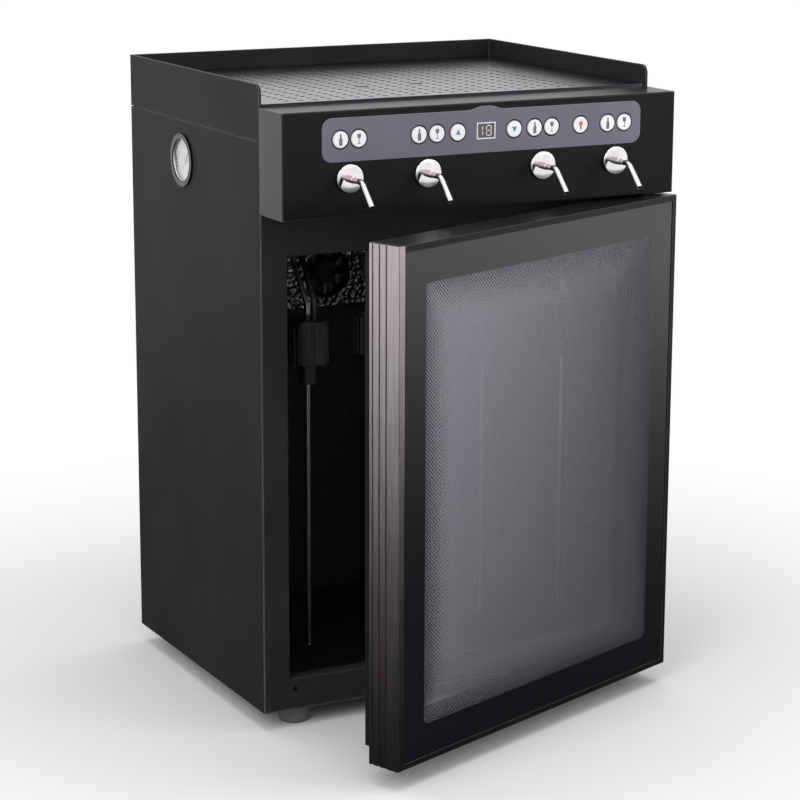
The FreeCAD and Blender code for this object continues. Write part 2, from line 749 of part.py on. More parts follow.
def front_frame():
    """Moulded frame round the compartment's mouth."""
    owner = body("front_frame")
    face = rectangle(
        sketch(owner, "frame_outline", "XZ_Plane", x="LEFT + sheet", y="BASE + sheet", z="-FRONT"),
        "width - 2 * sheet",
        "CONSOLE_LOW - BASE - sheet",
    )
    pad(owner, "frame_block", face, "frame_thickness", reverse=True)
    mouth = rectangle(
        sketch(owner, "frame_mouth", "XZ_Plane", x="OPEN_LEFT", y="OPEN_LOW", z="-FRONT"),
        "OPEN_RIGHT - OPEN_LEFT",
        "OPEN_TOP - OPEN_LOW",
    )
    pocket(owner, "frame_opening", mouth, "frame_thickness", reverse=False)
    y = num("FRONT")

    def mouth_edge(edge):
        box = edge.BoundBox
        inside = abs(box.XMin) < num("OPEN_RIGHT") + 0.1 and abs(box.XMax) < num("OPEN_RIGHT") + 0.1
        return inside and abs(box.YMin - y) < 0.01 and abs(box.YMax - y) < 0.01

    rounded(owner, "frame_soft_mouth", "frame_round", mouth_edge)
    screws = sketch(owner, "frame_screw_holes", "XZ_Plane", x="LEFT", y="BASE", z="-FRONT")
    for side, x in ((-1, "left"), (1, "right")):
        circle(screws, "screw_radius", f"{side} * frame_screw_offset - LEFT", "frame_screw_height", x)
    for i, x in enumerate(lug_spots()):
        circle(screws, "screw_radius", f"{x} - LEFT", "CONSOLE_LOW - bracket_lug / 2 - BASE", f"lug_{i}")
    pocket(owner, "frame_screw_cut", screws, "screw_length + screw_head_height", reverse=False)
    seats = sketch(owner, "frame_screw_seats", "XZ_Plane", x="LEFT", y="BASE", z="-FRONT")
    for side, x in ((-1, "left"), (1, "right")):
        circle(seats, "screw_head + 0.2", f"{side} * frame_screw_offset - LEFT", "frame_screw_height", x)
    pocket(owner, "frame_seat_cut", seats, "screw_head_height", reverse=False)
    node("front_frame", owner)


def lug_spots():
    first = "(HINGE_X - bracket_screw_first)"
    return [first, f"({first} - bracket_screw_pitch)"]


def hood():
    """Top cover: skirt, deck and the rail on three sides, folded from one sheet."""
    owner = body("hood")
    side = rectangle(
        sketch(owner, "hood_side", "YZ_Plane", x="FRONT", y="SEAM", z="LEFT"),
        "depth",
        "RIM - SEAM",
    )
    pad(owner, "hood_block", side, "width")
    y, z = num("FRONT"), num("RIM")

    def corner(edge):
        box = edge.BoundBox
        return along("X")(edge) and abs(box.YMin - y) < 0.01 and abs(box.ZMin - z) < 0.01

    rounded(owner, "hood_corners", "gallery_corner", corner)
    above = rectangle(
        sketch(owner, "hood_above", "YZ_Plane", x="FRONT - 1", y="DECK", z="LEFT + hood_sheet"),
        "depth - hood_sheet + 1",
        "gallery_height + 1",
    )
    pocket(owner, "hood_tray_space", above, "width - 2 * hood_sheet", reverse=True)
    below = rectangle(
        sketch(owner, "hood_below", "YZ_Plane", x="FRONT - 1", y="SEAM - 1", z="LEFT + hood_sheet"),
        "depth - hood_sheet + 1",
        "skirt_height - hood_sheet + 1",
    )
    pocket(owner, "hood_under_space", below, "width - 2 * hood_sheet", reverse=True)
    node("hood", owner)


def feet():
    """Four moulded feet, each with a soft sole edge and a recess for its screw."""
    owner = body("foot")
    profile = outline(
        sketch(owner, "foot_profile", "XZ_Plane"),
        [
            ("screw_head + 0.5", "0"),
            ("foot_radius", "0"),
            ("foot_radius", "foot_height"),
            ("screw_radius", "foot_height"),
            ("screw_radius", "foot_recess"),
            ("screw_head + 0.5", "foot_recess"),
        ],
    )
    turned(owner, "foot_turned", profile)

    def sole(edge):
        box = edge.BoundBox
        return abs(box.ZMax) < 0.01 and abs(box.XMax - num("foot_radius")) < 0.01

    rounded(owner, "foot_sole", "foot_round", sole)
    node("feet", copies("feet_placed", owner, [vec(x, y, "0") for x, y in foot_spots()]))


# Compartment


def inner_liner():
    """Moulded tub with open front, hose ports in its ceiling and openings for the cold blocks."""
    outer = block(
        "liner_outer",
        ("OPEN_LEFT - liner_wall", "OPEN_RIGHT + liner_wall"),
        ("FRAME_BACK", "LINER_BACK + liner_wall"),
        ("OPEN_LOW - liner_wall", "OPEN_TOP + liner_wall"),
    )
    space = block(
        "liner_space",
        ("OPEN_LEFT", "OPEN_RIGHT"),
        ("FRAME_BACK - 1", "LINER_BACK"),
        ("OPEN_LOW", "OPEN_TOP"),
    )
    node("inner_liner", cut("inner_liner_cut", outer, space, *block_holes("liner"), *port_holes("liner")))


def block_holes(owner):
    """Ways for the two cold blocks through liner and foam."""
    holes = []
    for side, name in ((-1, "left"), (1, "right")):
        middle = f"{side} * fan_pitch / 2"
        half = "(block_side / 2 + block_clearance)"
        holes.append(
            block(
                f"{owner}_block_hole_{name}",
                (f"{middle} - {half}", f"{middle} + {half}"),
                ("LINER_BACK - 1", "FOAM_BACK + 1"),
                (f"FAN_Z - {half}", f"FAN_Z + {half}"),
            )
        )
    return holes


STATIONS = {
    "far_left": ("-TAP_OUTER", "FRONT + outer_station"),
    "near_left": ("-tap_inner", "FRONT + inner_station"),
    "near_right": ("tap_inner", "FRONT + inner_station"),
    "far_right": ("TAP_OUTER", "FRONT + outer_station"),
}


def port_spots():
    """Where the wine and gas hoses come through the ceiling, behind each stopper."""
    for name, (x, y) in STATIONS.items():
        yield f"{name}_wine", f"{x} - hose_offset / 2", f"{y} + wine_port_setback"
        yield f"{name}_gas", f"{x} + hose_offset", f"{y} + gas_port_setback"


def port_holes(owner):
    return [
        rod(
            f"{owner}_port_{name}",
            "Z",
            (x, y, "OPEN_TOP - 1"),
            "hose_radius + port_clearance",
            "liner_wall + foam_top + 2",
        )
        for name, x, y in port_spots()
    ]


def insulation_foam():
    """Foam shell between the liner and the steel."""
    outer = block(
        "foam_outer",
        ("LEFT + sheet", "RIGHT - sheet"),
        ("FRAME_BACK", "FOAM_BACK"),
        ("BASE + sheet", "FOAM_TOP"),
    )
    space = block(
        "foam_space",
        ("OPEN_LEFT - liner_wall", "OPEN_RIGHT + liner_wall"),
        ("FRAME_BACK - 1", "LINER_BACK + liner_wall"),
        ("OPEN_LOW - liner_wall", "OPEN_TOP + liner_wall"),
    )
    holes = [*block_holes("foam"), *port_holes("foam")]
    node("insulation_foam", cut("insulation_foam_cut", outer, space, *holes))


def fan_cover():
    """Embossed aluminium cover in front of the inner fans, open at the back, with return slots below."""
    outer = block(
        "cover_outer",
        ("-COVER_SIDE", "COVER_SIDE"),
        ("COVER_Y", "LINER_BACK"),
        ("OPEN_TOP - cover_height", "OPEN_TOP"),
    )
    space = block(
        "cover_space",
        ("-COVER_SIDE + cover_sheet", "COVER_SIDE - cover_sheet"),
        ("COVER_Y + cover_sheet", "LINER_BACK + 1"),
        ("OPEN_TOP - cover_height + cover_sheet", "OPEN_TOP - cover_sheet"),
    )
    mouths = []
    for side, name in ((-1, "left"), (1, "right")):
        at = (f"{side} * fan_pitch / 2", "COVER_Y - 1", "FAN_Z")
        mouths.append(rod(f"cover_mouth_{name}", "Y", at, "fan_bore", "cover_sheet + 2"))
    slots = []
    for i in range(8):
        left = f"(({i} - 3.5) * cover_slot_pitch - cover_slot_length / 2)"
        slots.append(
            block(
                f"cover_slot_{i}",
                (left, f"{left} + cover_slot_length"),
                ("COVER_Y + 12", "COVER_Y + 12 + cover_slot_width"),
                ("OPEN_TOP - cover_height - 1", "OPEN_TOP - cover_height + cover_sheet + 1"),
            )
        )
    node("fan_cover", cut("fan_cover_cut", outer, space, *mouths, *slots))


def fan_frame(name, x, y, z, side, depth, bore, hub):
    """Square fan frame with four arms that carry the motor boss and its bearing."""
    shell = block(
        f"{name}_shell",
        (f"{x} - {side} / 2", f"{x} + {side} / 2"),
        (y, f"{y} + {depth}"),
        (f"{z} - {side} / 2", f"{z} + {side} / 2"),
    )
    throat = rod(f"{name}_throat", "Y", (x, f"{y} - 1", z), bore, f"{depth} + 2")
    ring = cut(f"{name}_ring", shell, throat)
    reach, half = f"({bore} + 1)", "fan_arm_width / 2"
    arms = []
    for way, across, up in (("level", reach, half), ("upright", half, reach)):
        span = (f"{y} + {depth} - fan_arm_depth", f"{y} + {depth}")
        arms.append(
            block(
                f"{name}_{way}_arm",
                (f"{x} - {across}", f"{x} + {across}"),
                span,
                (f"{z} - {up}", f"{z} + {up}"),
            )
        )
    boss = rod(f"{name}_boss", "Y", (x, f"{y} + {depth} - 6", z), f"{hub} - 1.5", "6")
    seat = (x, f"{y} + {depth} - 7", z)
    bearing = rod(f"{name}_bearing", "Y", seat, "shaft_radius + running_clearance", "6")
    return cut(f"{name}_frame", fuse(f"{name}_solid", ring, boss, *arms), bearing)


def rotor(name, x, y, z, depth, bore, hub):
    """Hub, shaft and slanted blades, made about its own axis and then put in its frame."""
    centre = vec(x, y, z)
    reach, radius = num(bore) - num("blade_tip_gap"), num(hub)
    cup_depth = num(depth) - 7.3
    y_axis = FreeCAD.Vector(0, 1, 0)
    start = FreeCAD.Vector(0, num("rotor_setback"), 0)
    cup = Part.makeCylinder(radius, cup_depth, start, y_axis)
    shaft = Part.makeCylinder(num("shaft_radius"), cup_depth + 4, start, y_axis)
    chord = cup_depth - 1
    swept = Part.makeCylinder(reach, cup_depth, start, y_axis)
    solid = cup.fuse(shaft)
    for i in range(int(num("blade_count"))):
        blade = Part.makeBox(reach, chord * 1.6, num("blade_thickness"))
        blade.translate(FreeCAD.Vector(0, -chord * 0.8, -num("blade_thickness") / 2))
        blade.rotate(FreeCAD.Vector(), FreeCAD.Vector(1, 0, 0), num("blade_pitch"))
        blade.translate(start + y_axis * cup_depth / 2)
        blade.rotate(FreeCAD.Vector(), y_axis, 360 * i / num("blade_count"))
        solid = solid.fuse(blade.common(swept))
    solid = solid.removeSplitter()
    solid.translate(centre)
    return feature(name, solid)


def fans():
    """Two inner fans behind the cover and one large fan at the back, each with its rotor."""
    frames = []
    inner = ("fan_depth", "fan_bore", "fan_hub_radius")
    rear = ("rear_fan_depth", "rear_fan_bore", "rear_hub_radius")
    for side, name in ((-1, "left"), (1, "right")):
        middle = (f"({side} * fan_pitch / 2)", "FAN_FRONT", "FAN_Z")
        frames.append(fan_frame(f"{name}_inner_fan", *middle, "fan_side", *inner))
        node(f"{name}_inner_fan_rotor", rotor(f"{name}_rotor", *middle, *inner))
    node("inner_fan_frames", group("inner_fan_frames_group", *frames))
    middle = ("0", "REAR_FAN_FRONT", "FAN_Z")
    node("rear_fan_frame", fan_frame("rear_fan", *middle, "rear_fan_side", *rear))
    node("rear_fan_rotor", rotor("rear_rotor", *middle, *rear))


def finned(name, half_width, height, plate, fins):
    """A plate with upright fins; plate and fins are front-to-back spans."""
    z = (f"FAN_Z - {height} / 2", f"FAN_Z + {height} / 2")
    parts = [block(f"{name}_plate", (f"-{half_width}", half_width), plate, z)]
    count = int((2 * num(half_width) - num("fin_thickness")) / num("fin_pitch"))
    for i in range(count + 1):
        x = f"(({i} - {count / 2}) * fin_pitch)"
        across = (f"{x} - fin_thickness / 2", f"{x} + fin_thickness / 2")
        parts.append(block(f"{name}_fin_{i}", across, fins, z))
    return parts


def cooling():
    """Cold sink with its two blocks, the thermoelectric modules and the hot sink."""
    cold = finned(
        "cold_sink",
        "cold_sink_half_width",
        "cold_sink_height",
        ("LINER_BACK - sink_base", "LINER_BACK"),
        ("LINER_BACK - cold_sink_depth", "LINER_BACK - sink_base"),
    )
    for side, name in ((-1, "left"), (1, "right")):
        middle = f"{side} * fan_pitch / 2"
        cold.append(
            block(
                f"cold_block_{name}",
                (f"{middle} - block_side / 2", f"{middle} + block_side / 2"),
                ("LINER_BACK - 1", "FOAM_BACK - module_thickness"),
                ("FAN_Z - block_side / 2", "FAN_Z + block_side / 2"),
            )
        )
    node("cold_sink", fuse("cold_sink_fused", *cold))
    modules = [
        block(
            f"module_{name}",
            (f"{side} * fan_pitch / 2 - module_side / 2", f"{side} * fan_pitch / 2 + module_side / 2"),
            ("FOAM_BACK - module_thickness", "FOAM_BACK"),
            ("FAN_Z - module_side / 2", "FAN_Z + module_side / 2"),
        )
        for side, name in ((-1, "left"), (1, "right"))
    ]
    node("thermoelectric_modules", group("modules_group", *modules))
    hot = finned(
        "hot_sink",
        "hot_sink_half_width",
        "hot_sink_height",
        ("FOAM_BACK", "FOAM_BACK + sink_base"),
        ("FOAM_BACK + sink_base", "REAR_FAN_FRONT"),
    )
    node("hot_sink", fuse("hot_sink_fused", *hot))


def interior_lamp():
    """Lamp under the compartment's ceiling, behind the header."""
    case = block(
        "lamp_case",
        ("-lamp_half_width", "lamp_half_width"),
        ("FRAME_BACK + 4", "FRAME_BACK + 18"),
        ("OPEN_TOP - lamp_drop", "OPEN_TOP"),
    )
    node("interior_lamp", case)


# Bottle stoppers and hoses


def bottle_stoppers():
    """Ribbed cap with a plug for the bottle's bore, a hose barb for wine and one for gas."""
    parts = []
    barb = ("hose_radius - hose_wall", "barb_length + 1")
    for name, (x, y) in STATIONS.items():
        cap = rod(f"{name}_cap", "Z", (x, y, "STOPPER_Z"), "stopper_radius", "stopper_height")
        notches = []
        for i in range(int(num("stopper_ribs"))):
            angle = f"({i} * 360 / stopper_ribs * 1 deg)"
            out = "(stopper_radius + 0.5)"
            spot = (f"{x} + {out} * cos{angle}", f"{y} + {out} * sin{angle}", "STOPPER_Z - 1")
            notches.append(rod(f"{name}_notch_{i}", "Z", spot, "notch_radius", "stopper_height - 5"))
        ribbed = cut(f"{name}_ribbed", cap, *notches)
        low = "STOPPER_Z - plug_length"
        plug = rod(f"{name}_plug", "Z", (x, y, low), "plug_radius", "plug_length + 1")
        wine = rod(f"{name}_wine_barb", "Z", (x, y, "STOPPER_TOP - 1"), *barb)
        gas = rod(f"{name}_gas_barb", "Z", (f"{x} + hose_offset", y, "STOPPER_TOP - 1"), *barb)
        solid = fuse(f"{name}_stopper_solid", ribbed, plug, wine, gas)
        bore = rod(f"{name}_bore", "Z", (x, y, f"{low} - 1"), "dip_radius", "plug_length + 1 + dip_grip")
        parts.append(cut(f"{name}_stopper", solid, bore))
    node("bottle_stoppers", group("stoppers_group", *parts))


def dip_tubes():
    """Rigid tubes that reach down into the bottles."""
    parts = []
    low = "(OPEN_LOW + dip_clearance)"
    length = f"STOPPER_Z + dip_grip - {low}"
    for name, (x, y) in STATIONS.items():
        bar = rod(f"{name}_dip", "Z", (x, y, low), "dip_radius", length)
        hole = rod(f"{name}_dip_bore", "Z", (x, y, f"{low} - 1"), "dip_radius - hose_wall", f"{length} + 2")
        parts.append(cut(f"{name}_dip_tube", bar, hole))
    node("dip_tubes", group("dip_tubes_group", *parts))


def hoses():
    """Wine hoses from the stoppers to the spouts, and gas hoses from the valves to the stoppers."""
    radius, wall = num("hose_radius"), num("hose_wall")
    wine, gas = [], []
    for i, (name, (x, y)) in enumerate(STATIONS.items()):
        port = vec(f"{x} - hose_offset / 2", f"{y} + wine_port_setback", "OPEN_TOP")
        top = vec(x, y, "STOPPER_TOP")
        tap = vec(x, "SHELL_BACK + spout_tail", "TAP_Z")
        points = [
            top,
            top + FreeCAD.Vector(0, 0, 14),
            port - FreeCAD.Vector(0, 0, 18),
            FreeCAD.Vector(port.x, port.y, num("FOAM_TOP") + 8),
            FreeCAD.Vector(tap.x, port.y - 10, tap.z),
            tap,
        ]
        wine.append(tube_along(points, 14, radius, wall))
        outlet = vec(f"({i} - 1.5) * valve_pitch", "MANIFOLD_Y", "FOAM_TOP + manifold_side / 2")
        port = vec(f"{x} + hose_offset", f"{y} + gas_port_setback", "OPEN_TOP")
        top = vec(f"{x} + hose_offset", y, "STOPPER_TOP")
        height = outlet.z
        points = [
            outlet,
            outlet - FreeCAD.Vector(0, 25, 0),
            FreeCAD.Vector(port.x, port.y + 55, height),
            FreeCAD.Vector(port.x, port.y, height),
            port - FreeCAD.Vector(0, 0, 14),
            top + FreeCAD.Vector(0, 0, 16),
            top,
        ]
        gas.append(tube_along(points, 12, radius, wall))
    inlet = vec("INLET_X", "REAR - sheet - 12", "INLET_Z")
    middle = "manifold_side / 2"
    left_end = vec("-manifold_half_width - 8", f"MANIFOLD_Y + {middle}", f"FOAM_TOP + {middle}")
    points = [
        inlet,
        inlet - FreeCAD.Vector(0, 22, 0),
        FreeCAD.Vector(inlet.x, left_end.y, left_end.z),
        left_end,
    ]
    gas.append(tube_along(points, 12, radius, wall))
    gauge_tail = vec("LEFT + gauge_depth + 6", "GAUGE_Y", "GAUGE_Z - 12")
    front_left = vec("-manifold_half_width + 10", "MANIFOLD_Y", "FOAM_TOP + manifold_side / 2")
    points = [
        gauge_tail,
        gauge_tail + FreeCAD.Vector(20, 0, 0),
        FreeCAD.Vector(front_left.x, front_left.y - 40, front_left.z),
        front_left,
    ]
    gas.append(tube_along(points, 12, radius, wall))
    node("wine_hoses", feature("wine_hoses_shape", Part.makeCompound(wine)))
    node("gas_hoses", feature("gas_hoses_shape", Part.makeCompound(gas)))


# Gas side


def gauge():
    """Pressure gauge let into the left side: case, bezel, dial, pointer and glass."""
    at = lambda x: (x, "GAUGE_Y", "GAUGE_Z")
    bore, pin = "gauge_radius - gauge_wall", "shaft_radius + running_clearance"
    case = rod("gauge_shell", "X", at("LEFT"), "gauge_radius", "gauge_depth")
    space = rod("gauge_space", "X", at("LEFT - 1"), bore, "dial_setback + 1")
    pivot = rod("gauge_pivot_hole", "X", at("LEFT"), pin, "dial_setback + 6")
    end = ("LEFT + gauge_depth - 1", "GAUGE_Y", "GAUGE_Z - 12")
    tail = rod("gauge_tail", "X", end, "hose_radius - hose_wall", "12")
    node("gauge_case", cut("gauge_case_cut", fuse("gauge_case_solid", case, tail), space, pivot))
    ring = rod("bezel_ring", "X", at("LEFT - bezel_proud"), "bezel_radius", "bezel_proud")
    hole = rod("bezel_hole", "X", at("LEFT - bezel_proud - 1"), bore, "bezel_proud + 2")
    node("gauge_bezel", cut("gauge_bezel_cut", ring, hole))
    plate = rod("dial_plate", "X", at("LEFT + dial_setback - 1"), bore, "1")
    clear = rod("dial_hole", "X", at("LEFT + dial_setback - 2"), pin, "3")
    node("gauge_dial", cut("gauge_dial_cut", plate, clear))
    node("gauge_glass", rod("gauge_glass_disc", "X", at("LEFT + 0.5"), bore, "lens_thickness"))
    node("gauge_needle", needle())


def needle():
    """Pointer with hub and staff; it lies between glass and dial."""
    face = num("LEFT + dial_setback") - 1
    x_axis = FreeCAD.Vector(1, 0, 0)
    staff = Part.makeCylinder(num("shaft_radius"), 6, FreeCAD.Vector(face - 1.6, 0, 0), x_axis)
    hub = Part.makeCylinder(3, 1.2, FreeCAD.Vector(face - 1.8, 0, 0), x_axis)
    reach = num("needle_length")
    corners = [
        FreeCAD.Vector(face - 1.5, -1.4, -6),
        FreeCAD.Vector(face - 1.5, 1.4, -6),
        FreeCAD.Vector(face - 1.5, 0.4, reach),
        FreeCAD.Vector(face - 1.5, -0.4, reach),
    ]
    blade = Part.Face(Part.makePolygon(corners + corners[:1])).extrude(FreeCAD.Vector(0.7, 0, 0))
    solid = staff.fuse([hub, blade]).removeSplitter()
    solid.rotate(FreeCAD.Vector(), x_axis, num("needle_angle"))
    solid.translate(FreeCAD.Vector(0, num("GAUGE_Y"), num("GAUGE_Z")))
    return feature("needle_shape", solid)


def gas_works():
    """Manifold with four solenoid valves on the insulation, and the inlet through the back."""
    bar = block(
        "manifold_bar",
        ("-manifold_half_width", "manifold_half_width"),
        ("MANIFOLD_Y", "MANIFOLD_Y + manifold_side"),
        ("FOAM_TOP", "FOAM_TOP + manifold_side"),
    )
    end = rod(
        "manifold_end",
        "X",
        ("-manifold_half_width - 8", "MANIFOLD_Y + manifold_side / 2", "FOAM_TOP + manifold_side / 2"),
        "hose_radius - hose_wall",
        "9",
    )
    node("gas_manifold", fuse("gas_manifold_fused", bar, end))
    valves = []
    for i in range(4):
        x = f"({i} - 1.5) * valve_pitch"
        coil = block(
            f"valve_coil_{i}",
            (f"{x} - valve_side / 2", f"{x} + valve_side / 2"),
            ("MANIFOLD_Y + 1", "MANIFOLD_Y + 1 + valve_side"),
            ("FOAM_TOP + manifold_side", "FOAM_TOP + manifold_side + valve_height"),
        )
        cap = rod(
            f"valve_cap_{i}",
            "Z",
            (x, "MANIFOLD_Y + 1 + valve_side / 2", "FOAM_TOP + manifold_side + valve_height - 1"),
            "valve_side / 4",
            "6",
        )
        valves.append(fuse(f"valve_{i}", coil, cap))
    node("solenoid_valves", group("valves_group", *valves))
    at = lambda y: ("INLET_X", y, "INLET_Z")
    neck = rod("inlet_neck", "Y", at("REAR - sheet - 10"), "inlet_radius - 1.5", "sheet + 11")
    collar = rod("inlet_collar", "Y", at("REAR"), "inlet_radius", "inlet_proud")
    nut = prism("inlet_nut", "Y", at("REAR - sheet - 4"), "inlet_radius * 2 + 2", "4")
    barb = rod("inlet_barb", "Y", at("REAR - sheet - 12"), "hose_radius - hose_wall", "3")
    bottom = "REAR + inlet_proud - inlet_bore_depth"
    bore = rod("inlet_hole", "Y", at(bottom), "inlet_bore", "inlet_bore_depth + 1")
    node("gas_inlet", cut("gas_inlet_cut", fuse("gas_inlet_solid", neck, collar, nut, barb), bore))


def power():
    """Power supply on the base plate and the mains inlet through the back."""
    node(
        "power_supply",
        block(
            "supply_case",
            ("SUPPLY_X - supply_width / 2", "SUPPLY_X + supply_width / 2"),
            ("FOAM_BACK + 1", "FOAM_BACK + 1 + supply_depth"),
            ("BASE + sheet", "BASE + sheet + supply_height"),
        ),
    )

    def about(name, x, half_wide, y, half_tall):
        return block(
            name,
            (f"SOCKET_X + {x} - {half_wide}", f"SOCKET_X + {x} + {half_wide}"),
            y,
            (f"SOCKET_Z - {half_tall}", f"SOCKET_Z + {half_tall}"),
        )

    flange = about("socket_flange", 0, 24, ("REAR", "REAR + 2"), 13)
    case = about("socket_case", 0, 13.8, ("REAR - 22", "REAR + 1"), 10.3)
    well = about("socket_well", 0, 12, ("REAR - 16", "REAR + 3"), 8)
    blades = [
        about(f"socket_{name}_blade", x, 1, ("REAR - 17", "REAR - 2"), 2)
        for name, x in (("live", -7), ("earth", 0), ("neutral", 7))
    ]
    hollow = cut("socket_hollow", fuse("socket_solid", flange, case), well)
    node("mains_inlet", fuse("mains_inlet_fused", hollow, *blades))


# Console

BUTTONS = {
    "bottle_button_1": "-TAP_OUTER - pair_half",
    "glass_button_1": "-TAP_OUTER + pair_half",
    "bottle_button_2": "-tap_inner - pair_half",
    "glass_button_2": "-tap_inner + pair_half",
    "warmer_button": "-arrow_offset",
    "cooler_button": "arrow_offset",
    "bottle_button_3": "tap_inner - pair_half",
    "glass_button_3": "tap_inner + pair_half",
    "lamp_button": "TAP_OUTER - lamp_button_lead",
    "bottle_button_4": "TAP_OUTER - pair_half",
    "glass_button_4": "TAP_OUTER + pair_half",
}
TAPS = ("-TAP_OUTER", "-tap_inner", "tap_inner", "TAP_OUTER")
BOSSES = ("-OVERLAY_SIDE + 6.5", "-92", "92", "OVERLAY_SIDE - 6.5")


def console_housing():
    """Moulded shell over the door, with holes for taps, buttons and display and bosses for the board."""
    owner = body("console_housing")
    face = rectangle(
        sketch(owner, "console_outline", "XZ_Plane", x="LEFT", y="CONSOLE_LOW", z="-CONSOLE_FRONT"),
        "width",
        "console_height",
    )
    pad(owner, "console_block", face, "console_reach", reverse=True)
    y = num("CONSOLE_FRONT")
    rounded(
        owner,
        "console_soft_edges",
        "console_round",
        lambda edge: abs(edge.BoundBox.YMax - y) < 0.01,
    )
    space = rectangle(
        sketch(
            owner,
            "console_inside",
            "XZ_Plane",
            x="LEFT + console_wall",
            y="CONSOLE_LOW + console_wall",
            z="-FRONT",
        ),
        "width - 2 * console_wall",
        "console_height - 2 * console_wall",
    )
    pocket(owner, "console_space", space, "console_reach - console_wall", reverse=True)
    caps = sketch(owner, "button_holes", "XZ_Plane", x="LEFT", y="CONSOLE_LOW", z="-CONSOLE_FRONT")
    for name, x in BUTTONS.items():
        circle(caps, "button_radius + button_gap", f"{x} - LEFT", "button_height", name)
    pocket(owner, "button_hole_cut", caps, "console_wall + 1")
    taps = sketch(owner, "tap_holes", "XZ_Plane", x="LEFT", y="CONSOLE_LOW", z="-CONSOLE_FRONT")
    for i, x in enumerate(TAPS):
        circle(taps, "spout_radius + 0.1", f"{x} - LEFT", "tap_height", f"tap_{i}")
    pocket(owner, "tap_hole_cut", taps, "console_wall + 1")
    window = rectangle(
        sketch(
            owner,
            "display_opening",
            "XZ_Plane",
            x="-display_half_width",
            y="BUTTON_Z - display_height / 2",
            z="-CONSOLE_FRONT",
        ),
        "2 * display_half_width",
        "display_height",
    )
    pocket(owner, "display_cut", window, "console_wall + 1")
    posts = sketch(owner, "board_posts", "XZ_Plane", x="LEFT", y="CONSOLE_LOW", z="-SHELL_BACK")
    for i, x in enumerate(BOSSES):
        circle(posts, "boss_radius", f"{x} - LEFT", "button_height", f"post_{i}")
    pad(owner, "board_bosses", posts, "board_setback", reverse=True)
    bores = sketch(owner, "board_bores", "XZ_Plane", x="LEFT", y="CONSOLE_LOW", z="-BOARD_FRONT")
    for i, x in enumerate(BOSSES):
        circle(bores, "screw_radius", f"{x} - LEFT", "button_height", f"bore_{i}")
    pocket(owner, "board_bore_cut", bores, "screw_length - board_thickness", reverse=True)
    node("console_housing", owner)


def keypad_overlay():
    """Glossy film with a raised middle, holes for the caps and a window for the display."""
    owner = body("keypad_overlay")
    wide = "(2 * OVERLAY_SIDE)"
    tall = "(overlay_high - overlay_low)"
    face = outline(
        sketch(
            owner,
            "overlay_outline",
            "XZ_Plane",
            x="-OVERLAY_SIDE",
            y="CONSOLE_LOW + overlay_low",
            z="-CONSOLE_FRONT",
        ),
        [
            ("0", "0"),
            (wide, "0"),
            (wide, tall),
            ("OVERLAY_SIDE + hump_half_base", tall),
            ("OVERLAY_SIDE + hump_half_top", f"{tall} + hump_rise"),
            ("OVERLAY_SIDE - hump_half_top", f"{tall} + hump_rise"),
            ("OVERLAY_SIDE - hump_half_base", tall),
            ("0", tall),
        ],
    )
    pad(owner, "overlay_film", face, "overlay_skin")
    reach = num("OVERLAY_SIDE")

    def corner(edge):
        return along("Y")(edge) and abs(abs(edge.BoundBox.XMin) - reach) < 0.01

    rounded(owner, "overlay_corners", "overlay_round", corner)
    front = "-CONSOLE_FRONT + overlay_skin"
    caps = sketch(owner, "cap_holes", "XZ_Plane", x="LEFT", y="CONSOLE_LOW", z=front)
    for name, x in BUTTONS.items():
        circle(caps, "button_radius + button_gap", f"{x} - LEFT", "button_height", name)
    pocket(owner, "cap_hole_cut", caps, "overlay_skin + 1")
    window = rectangle(
        sketch(
            owner,
            "overlay_window",
            "XZ_Plane",
            x="-display_half_width",
            y="BUTTON_Z - display_height / 2",
            z=front,
        ),
        "2 * display_half_width",
        "display_height",
    )
    pocket(owner, "overlay_window_cut", window, "overlay_skin + 1")
    node("keypad_overlay", owner)


def button(name, x):
    """Round cap with a soft front edge and a flange that keeps it behind the shell."""
    front = "CONSOLE_FRONT - overlay_skin - button_proud"
    length = f"FLANGE_FRONT + button_flange_depth - ({front})"
    cap = rod(f"{name}_cap", "Y", (x, front, "BUTTON_Z"), "button_radius", length)
    wide = "button_radius + button_flange"
    flange = rod(f"{name}_flange", "Y", (x, "FLANGE_FRONT", "BUTTON_Z"), wide, "button_flange_depth")
    solid = fuse(f"{name}_solid", cap, flange)
    doc.recompute()
    y = num(front)
    edges = [i for i, edge in enumerate(solid.Shape.Edges, 1) if abs(edge.BoundBox.YMax - y) < 0.01]
    made = doc.addObject("Part::Fillet", f"{name}_soft")
    made.Base = solid
    made.Edges = [(i, 0.5, 0.5) for i in edges]
    node(name, made)


def display_module():
    """Display block that fills the window and stands on the board."""
    half = "(display_half_width - 0.15)"
    tall = "(display_height / 2 - 0.15)"
    node(
        "display_module",
        block(
            "display_block",
            (f"-{half}", half),
            ("CONSOLE_FRONT - overlay_skin", "BOARD_FRONT"),
            (f"BUTTON_Z - {tall}", f"BUTTON_Z + {tall}"),
        ),
    )


